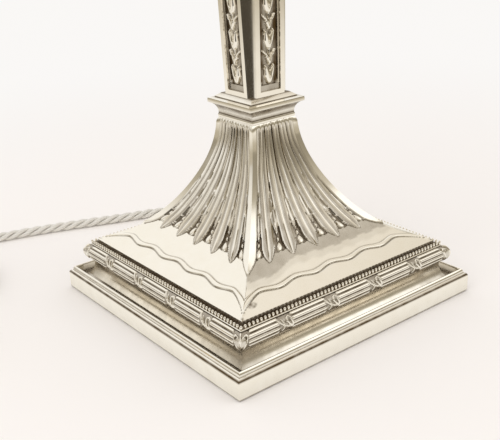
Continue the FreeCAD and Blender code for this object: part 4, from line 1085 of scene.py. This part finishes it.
def capital_leaves(lane, up):
    """Height and darkness of the capital's leaves: narrow ones in the gaps, and main ones whose
    tips curl outward. They stand in lanes, and up runs from 0 to 1."""
    # the sunk ground between the leaves is dark: patina and painted shade
    height, dark = np.full_like(lane, -0.35), np.full_like(lane, 0.85)
    for offset, tip, wide, tall in ((0.5, 0.93, 0.40, 0.55), (0.0, 0.82, 0.46, 1.0)):
        t = (lane - offset) - np.round(lane - offset)
        taper = np.clip((tip - up) / 0.26, 0, 1)
        width = max(wide * math.sin(math.pi / 2 * taper) ** 0.8, 1e-3)
        inside = (np.abs(t) <= width) & (up < tip)
        leaf = tall * leaf_section(t / width) + 0.5 * tall * ease(up, tip - 0.3, tip)
        height = np.where(inside, leaf, height)
        dark = np.where(inside, 0.45 * trough(t / width) ** 2, dark)
    return height * ease(up, 0.0, 0.05) * ease_down(up, 0.96, 1.0), dark


def make_capital():
    """Bell of the capital, with upright leaves whose tips stand free at the top."""
    rise = [(-0.4, 0.0), (0.2, 7.0), (1.6, 15.0), (4.6, 23.0), (9.4, 30.0)]
    bed, wall, columns, steps = 17.8, 1.2, 100, 64
    profile = curve_through([(bed + out, CAPITAL_Z + up) for out, up in rise], 800)
    outward = outward_of(np.gradient(profile, axis=0))
    share = np.linspace(-1, 1, columns + 1)
    rows, darkness = [], []
    picks = [int(k) for k in np.linspace(0, len(profile) - 1, steps)]
    for (half, z), way in zip(profile[picks], outward[picks]):
        height, dark = capital_leaves(share * 2.5, (z - CAPITAL_Z) / (CAPITAL_TOP - CAPITAL_Z))
        moved = half + way[0] * height
        rows.append(list(zip(share * moved, moved, z + way[1] * height)))
        darkness += list(dark[:-1]) * 4
    inner = picks[::9][::-1]
    for (half, z), way in zip(profile[inner], outward[inner]):
        low = min(z - way[1] * wall, CAPITAL_TOP)
        rows.append(straight_row(half - way[0] * wall, low, columns))
        darkness += [0.8] * (4 * columns)
    return finish_shell(square_ring("leaf_capital", rows), "capital_bell", darkness, 40)


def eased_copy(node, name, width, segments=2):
    """Copy of a CAD node's solid with its edges rubbed round, which stands for the node."""
    shape = bmesh.new()
    shape.from_mesh(NODES[node].data)
    bmesh.ops.remove_doubles(shape, verts=shape.verts, dist=0.002 * MM)
    bmesh.ops.dissolve_limit(shape, angle_limit=math.radians(0.5), verts=shape.verts,
                             edges=shape.edges)
    mesh = bpy.data.meshes.new(name)
    shape.to_mesh(mesh)
    shape.free()
    piece = bpy.data.objects.new(name, mesh)
    bpy.context.scene.collection.objects.link(piece)
    activate(piece)
    bevel = piece.modifiers.new("rubbed_edges", "BEVEL")
    bevel.width = width * MM
    bevel.segments = segments
    bevel.limit_method = "ANGLE"
    bevel.angle_limit = math.radians(30)
    bpy.ops.object.modifier_apply(modifier="rubbed_edges")
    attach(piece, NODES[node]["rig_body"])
    smooth(piece, 40)
    even = piece.modifiers.new("flat_faces", "WEIGHTED_NORMAL")
    even.keep_sharp = True
    bpy.ops.object.modifier_apply(modifier="flat_faces")
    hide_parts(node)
    return piece


# ---------------------------------------------------------------- finishes

def silver(name, darkness):
    """Sterling silver, stamped and chased, hand polished. Bright and faintly warm, with a soft
    polish haze, and a brown that stands both for patina left where the cloth doesn't reach and
    for painted shade and painted dark reflections. Its darkness is either worked into the piece
    or found from how shut in a spot is, which paints shade into the crevices."""
    material, tree = new_material(name)
    place = add_node(tree, "TexCoord", out="Object")
    # polishing haze, patches about 6 mm across, and rubbing marks about 0.8 mm apart
    haze = add_node(tree, "TexNoise", {"Vector": place, "Scale": 1 / (6 * MM), "Detail": 3.0})
    marks = add_node(tree, "TexNoise", {"Vector": place, "Scale": 1 / (0.8 * MM), "Detail": 4.0})
    if darkness == "worked":
        dark = add_node(tree, "Attribute", out="Fac", attribute_name="patina_and_painted_shade")
    else:
        # painted shade: darker where a spot is shut in, from ambient occlusion within 3.2 mm
        shut_in = add_node(tree, "AmbientOcclusion", {"Distance": 3.2 * MM}, out="AO", samples=6)
        greys = ((0.2, 0.85), (0.5, 0.5), (0.72, 0.1), (0.9, 0.0))
        dark = add_node(tree, "ValToRGB", {"Fac": shut_in},
                        stops=[(at, (grey, grey, grey, 1.0)) for at, grey in greys])
    patches = add_node(tree, "MapRange", {"Value": haze, "From Min": 0.35, "From Max": 0.7,
                                          "To Min": 0.85, "To Max": 1.1})
    amount = add_node(tree, "Math", {0: dark, 1: patches}, operation="MULTIPLY", use_clamp=True)
    tone = add_node(tree, "Mix", {"Factor": haze, "A": linear("FBF7EF"), "B": linear("F6F0E4")},
                    data_type="RGBA")
    # the brown stands for patina and for painted shade and painted dark reflections
    colour = add_node(tree, "Mix", {"Factor": amount, "A": tone, "B": linear("5E4C32")},
                      data_type="RGBA")
    rough = add_node(tree, "MapRange", {"Value": haze, "From Min": 0.3, "From Max": 0.7,
                                        "To Min": 0.08, "To Max": 0.14})
    rougher = add_node(tree, "Math", {0: amount, 1: 0.30, 2: rough}, operation="MULTIPLY_ADD")
    bump = add_node(tree, "Bump", {"Height": marks, "Strength": 0.05, "Distance": 0.05 * MM})
    shader = add_node(tree, "BsdfPrincipled", {"Base Color": colour, "Metallic": 1.0,
                                               "Roughness": rougher, "Normal": bump})
    add_node(tree, "OutputMaterial", {"Surface": shader})
    return material


def braided_cotton():
    """Braided cotton and silk flex cover, machine braided. Soft ivory grey with fine slanting
    threads and no gloss."""
    material, tree = new_material("braided_cotton")
    cover = add_node(tree, "UVMap", uv_map="braid")
    # threads 1.1 mm apart along the core, slanting round it both ways
    around = add_node(tree, "SeparateXYZ", {"Vector": cover}, out="X")
    length = add_node(tree, "SeparateXYZ", {"Vector": cover}, out="Y")
    slants = []
    for way in (4.0, -4.0):
        turns = add_node(tree, "Math", {0: around, 1: way}, operation="MULTIPLY")
        along = add_node(tree, "Math", {0: length, 1: 1 / 1.1, 2: turns},
                         operation="MULTIPLY_ADD")
        angle = add_node(tree, "Math", {0: along, 1: 2 * math.pi}, operation="MULTIPLY")
        slants.append(add_node(tree, "Math", {0: angle}, operation="SINE"))
    weave = add_node(tree, "Math", {0: slants[0], 1: slants[1]}, operation="MAXIMUM")
    shade = add_node(tree, "MapRange", {"Value": weave, "From Min": -0.7, "From Max": 1.0})
    colour = add_node(tree, "Mix", {"Factor": shade, "A": linear("C2BEB3"),
                                    "B": linear("F3F0E9")}, data_type="RGBA")
    bump = add_node(tree, "Bump", {"Height": shade, "Strength": 0.6, "Distance": 0.15 * MM})
    shader = add_node(tree, "BsdfPrincipled", {"Base Color": colour, "Roughness": 0.75,
                                               "Sheen Weight": 0.25, "Normal": bump})
    add_node(tree, "OutputMaterial", {"Surface": shader})
    return material


def grained(name, light, dark, grain_mm, roughness, metallic=0.0, bump_mm=0.02):
    """Plain solid finish with a fine grain in its colour, gloss and surface."""
    material, tree = new_material(name)
    place = add_node(tree, "TexCoord", out="Object")
    grain = add_node(tree, "TexNoise", {"Vector": place, "Scale": 1 / (grain_mm * MM),
                                        "Detail": 4.0})
    colour = add_node(tree, "Mix", {"Factor": grain, "A": linear(light), "B": linear(dark)},
                      data_type="RGBA")
    rough = add_node(tree, "MapRange", {"Value": grain, "To Min": roughness * 0.8,
                                        "To Max": roughness * 1.2})
    bump = add_node(tree, "Bump", {"Height": grain, "Strength": 0.4, "Distance": bump_mm * MM})
    shader = add_node(tree, "BsdfPrincipled", {"Base Color": colour, "Metallic": metallic,
                                               "Roughness": rough, "Normal": bump})
    add_node(tree, "OutputMaterial", {"Surface": shader})
    return material


def dress(piece, material):
    piece.data.materials.clear()
    piece.data.materials.append(material)


# ---------------------------------------------------------------- floor and light

def table_in_metal(tree):
    """Emission of the table in polished metal: it ends half a metre out, with a dim room beyond
    it and a dark one behind the camera."""
    place = add_node(tree, "TexCoord", out="Object")
    far = add_node(tree, "VectorMath", {0: place}, operation="LENGTH")
    fade = add_node(tree, "ValToRGB", {"Fac": far}, stops=[
        (0.0, linear("FAF7F1")), (0.50, linear("F4EFE5")), (1.0, linear("BDB4A0"))])
    towards = add_node(tree, "VectorMath", {0: place}, operation="NORMALIZE")
    facing = add_node(tree, "VectorMath", {0: towards, 1: DARK_ROOM}, operation="DOT_PRODUCT")
    ahead = add_node(tree, "MapRange", {"Value": facing, "From Min": 0.91, "From Max": 0.96},
                     interpolation_type="SMOOTHSTEP")
    away = add_node(tree, "MapRange", {"Value": far, "From Min": 0.19, "From Max": 0.30},
                    interpolation_type="SMOOTHSTEP")
    shade = add_node(tree, "Math", {0: ahead, 1: away}, operation="MULTIPLY")
    tone = add_node(tree, "Mix", {"Factor": shade, "A": fade, "B": linear("4B453B")},
                    data_type="RGBA")
    return add_node(tree, "Emission", {"Color": tone, "Strength": 1.0})


def pale_table():
    """Matt white card. To the camera, it runs on into the pale backdrop."""
    material, tree = new_material("pale_table")
    card = add_node(tree, "BsdfDiffuse", {"Color": linear("FAF6F3")})
    sweep = add_node(tree, "Emission", {"Color": linear("FAF8F6"), "Strength": 1.0})
    place = add_node(tree, "TexCoord", out="Object")
    far = add_node(tree, "VectorMath", {0: place}, operation="LENGTH")
    beyond = add_node(tree, "MapRange", {"Value": far, "From Min": 0.12, "From Max": 0.7,
                                         "To Max": 0.97}, interpolation_type="SMOOTHSTEP")
    to_camera = add_node(tree, "LightPath", out="Is Camera Ray")
    plain = add_node(tree, "Math", {0: beyond, 1: to_camera}, operation="MULTIPLY")
    backdrop = add_node(tree, "MixShader", {"Fac": plain, 1: card, 2: sweep})
    in_metal = add_node(tree, "LightPath", out="Is Glossy Ray")
    mixed = add_node(tree, "MixShader", {"Fac": in_metal, 1: backdrop, 2: table_in_metal(tree)})
    add_node(tree, "OutputMaterial", {"Surface": mixed})
    return material


def make_floor():
    deselect()
    bpy.ops.mesh.primitive_circle_add(vertices=96, radius=6.0, fill_type="NGON")
    floor = bpy.context.object
    floor.name = "floor"
    dress(floor, pale_table())


def room_in_metal(tree):
    """Background that polished metal sees: dim low down, with the patches of ROOM_PATCHES."""
    way = add_node(tree, "TexCoord", out="Generated")
    height = add_node(tree, "SeparateXYZ", {"Vector": way}, out="Z")
    room = add_node(tree, "ValToRGB", {"Fac": height},
                    stops=[(at, linear(tone)) for at, tone in ROOM_TONES])
    for centre, low, high, tone in ROOM_PATCHES:
        towards = add_node(tree, "VectorMath", {0: way, 1: centre}, operation="DOT_PRODUCT")
        edge = add_node(tree, "MapRange", {"Value": towards, "From Min": low, "From Max": high},
                        interpolation_type="SMOOTHSTEP")
        room = add_node(tree, "Mix", {"Factor": edge, "A": room, "B": linear(tone)},
                        data_type="RGBA")
    # the last patch, the bright window, is stronger
    power = add_node(tree, "Math", {0: edge, 1: 0.3, 2: 1.03}, operation="MULTIPLY_ADD")
    return add_node(tree, "Background", {"Color": room, "Strength": power})


def make_world():
    """White studio: one tone lights the lamp, one is seen behind it, one mirrors in it."""
    world = bpy.data.worlds.new("studio")
    bpy.context.scene.world = world
    world.use_nodes = True
    tree = world.node_tree
    tree.nodes.clear()
    lit = add_node(tree, "Background", {"Color": linear("FFFDFB"), "Strength": 0.86})
    seen = add_node(tree, "Background", {"Color": linear("FAF7F5"), "Strength": 1.0})
    in_metal = add_node(tree, "LightPath", out="Is Glossy Ray")
    to_camera = add_node(tree, "LightPath", out="Is Camera Ray")
    around = add_node(tree, "MixShader", {"Fac": in_metal, 1: lit, 2: room_in_metal(tree)})
    studio = add_node(tree, "MixShader", {"Fac": to_camera, 1: around, 2: seen})
    add_node(tree, "OutputWorld", {"Surface": studio})


def make_lamps():
    """Soft box above on the left, and a weaker one on the right."""
    for name, spot, size, power in LAMPS:
        data = bpy.data.lights.new(name, "AREA")
        data.shape = "SQUARE"
        data.size = size
        data.energy = power
        data.color = (1.0, 0.985, 0.96)
        light = bpy.data.objects.new(name, data)
        light.location = spot
        aim = Vector((0, 0, 0.06)) - Vector(spot)
        light.rotation_euler = aim.to_track_quat("-Z", "Y").to_euler()
        light.visible_glossy = False
        bpy.context.scene.collection.objects.link(light)


# ---------------------------------------------------------------- build

make_camera()
flex, flex_spots = make_flex()
chased = [make_foot(), make_plinth(), make_hollow(), make_reeds(), make_ties(),
          make_corner_leaves(), make_collar(), make_column(), make_husks(), make_capital(),
          make_border_beads(), make_nozzle_beads()]
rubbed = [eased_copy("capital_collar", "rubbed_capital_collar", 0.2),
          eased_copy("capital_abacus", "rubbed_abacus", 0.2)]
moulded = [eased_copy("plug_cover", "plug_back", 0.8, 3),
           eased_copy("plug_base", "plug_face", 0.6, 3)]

worked_silver = silver("chased_sterling_silver", "worked")
plain_silver = silver("stamped_sterling_silver", "found")
brass = grained("lacquered_brass", "E6C98A", "D9B872", 0.6, 0.24, metallic=1.0, bump_mm=0.01)
steel = grained("zinc_plated_steel", "C9CCCE", "B3B6B9", 0.5, 0.32, metallic=1.0)
beech = grained("varnished_beech", "B98A5A", "9A6C40", 0.9, 0.45)
baize = grained("green_baize", "35553B", "24402B", 0.5, 0.95, bump_mm=0.25)
plaster = grained("cast_plaster", "E9E4DA", "D8D2C5", 0.7, 0.9, bump_mm=0.06)
porcelain = grained("glazed_porcelain", "F3F1EC", "ECE9E2", 2.0, 0.2, bump_mm=0.01)
bakelite = grained("brown_bakelite", "3A241A", "2A1811", 1.2, 0.3)
rubber = grained("moulded_rubber", "D9D5CB", "C9C5BA", 0.4, 0.7)
plug_plastic = grained("moulded_urea_plastic", "EFECE5", "E4E0D7", 0.8, 0.38)

SLOT_FINISHES = {"silver": plain_silver, "brass": brass, "steel": steel, "wood": beech,
                 "baize": baize, "plaster": plaster, "ceramic": porcelain,
                 "bakelite": bakelite, "rubber": rubber, "flex_braid": braided_cotton(),
                 "plug_plastic": plug_plastic}

SLOTS = {entry["node"]: entry["material_slot"] for entry in frame["record"]["subparts"]}
for node_name, node_object in NODES.items():
    dress(node_object, SLOT_FINISHES[SLOTS[node_name]])

for piece in chased:
    dress(piece, worked_silver)
for piece in rubbed:
    dress(piece, plain_silver)
for piece in moulded:
    dress(piece, plug_plastic)
dress(flex, SLOT_FINISHES["flex_braid"])

make_floor()
make_world()
make_lamps()
bpy.context.scene.view_settings.view_transform = "Standard"
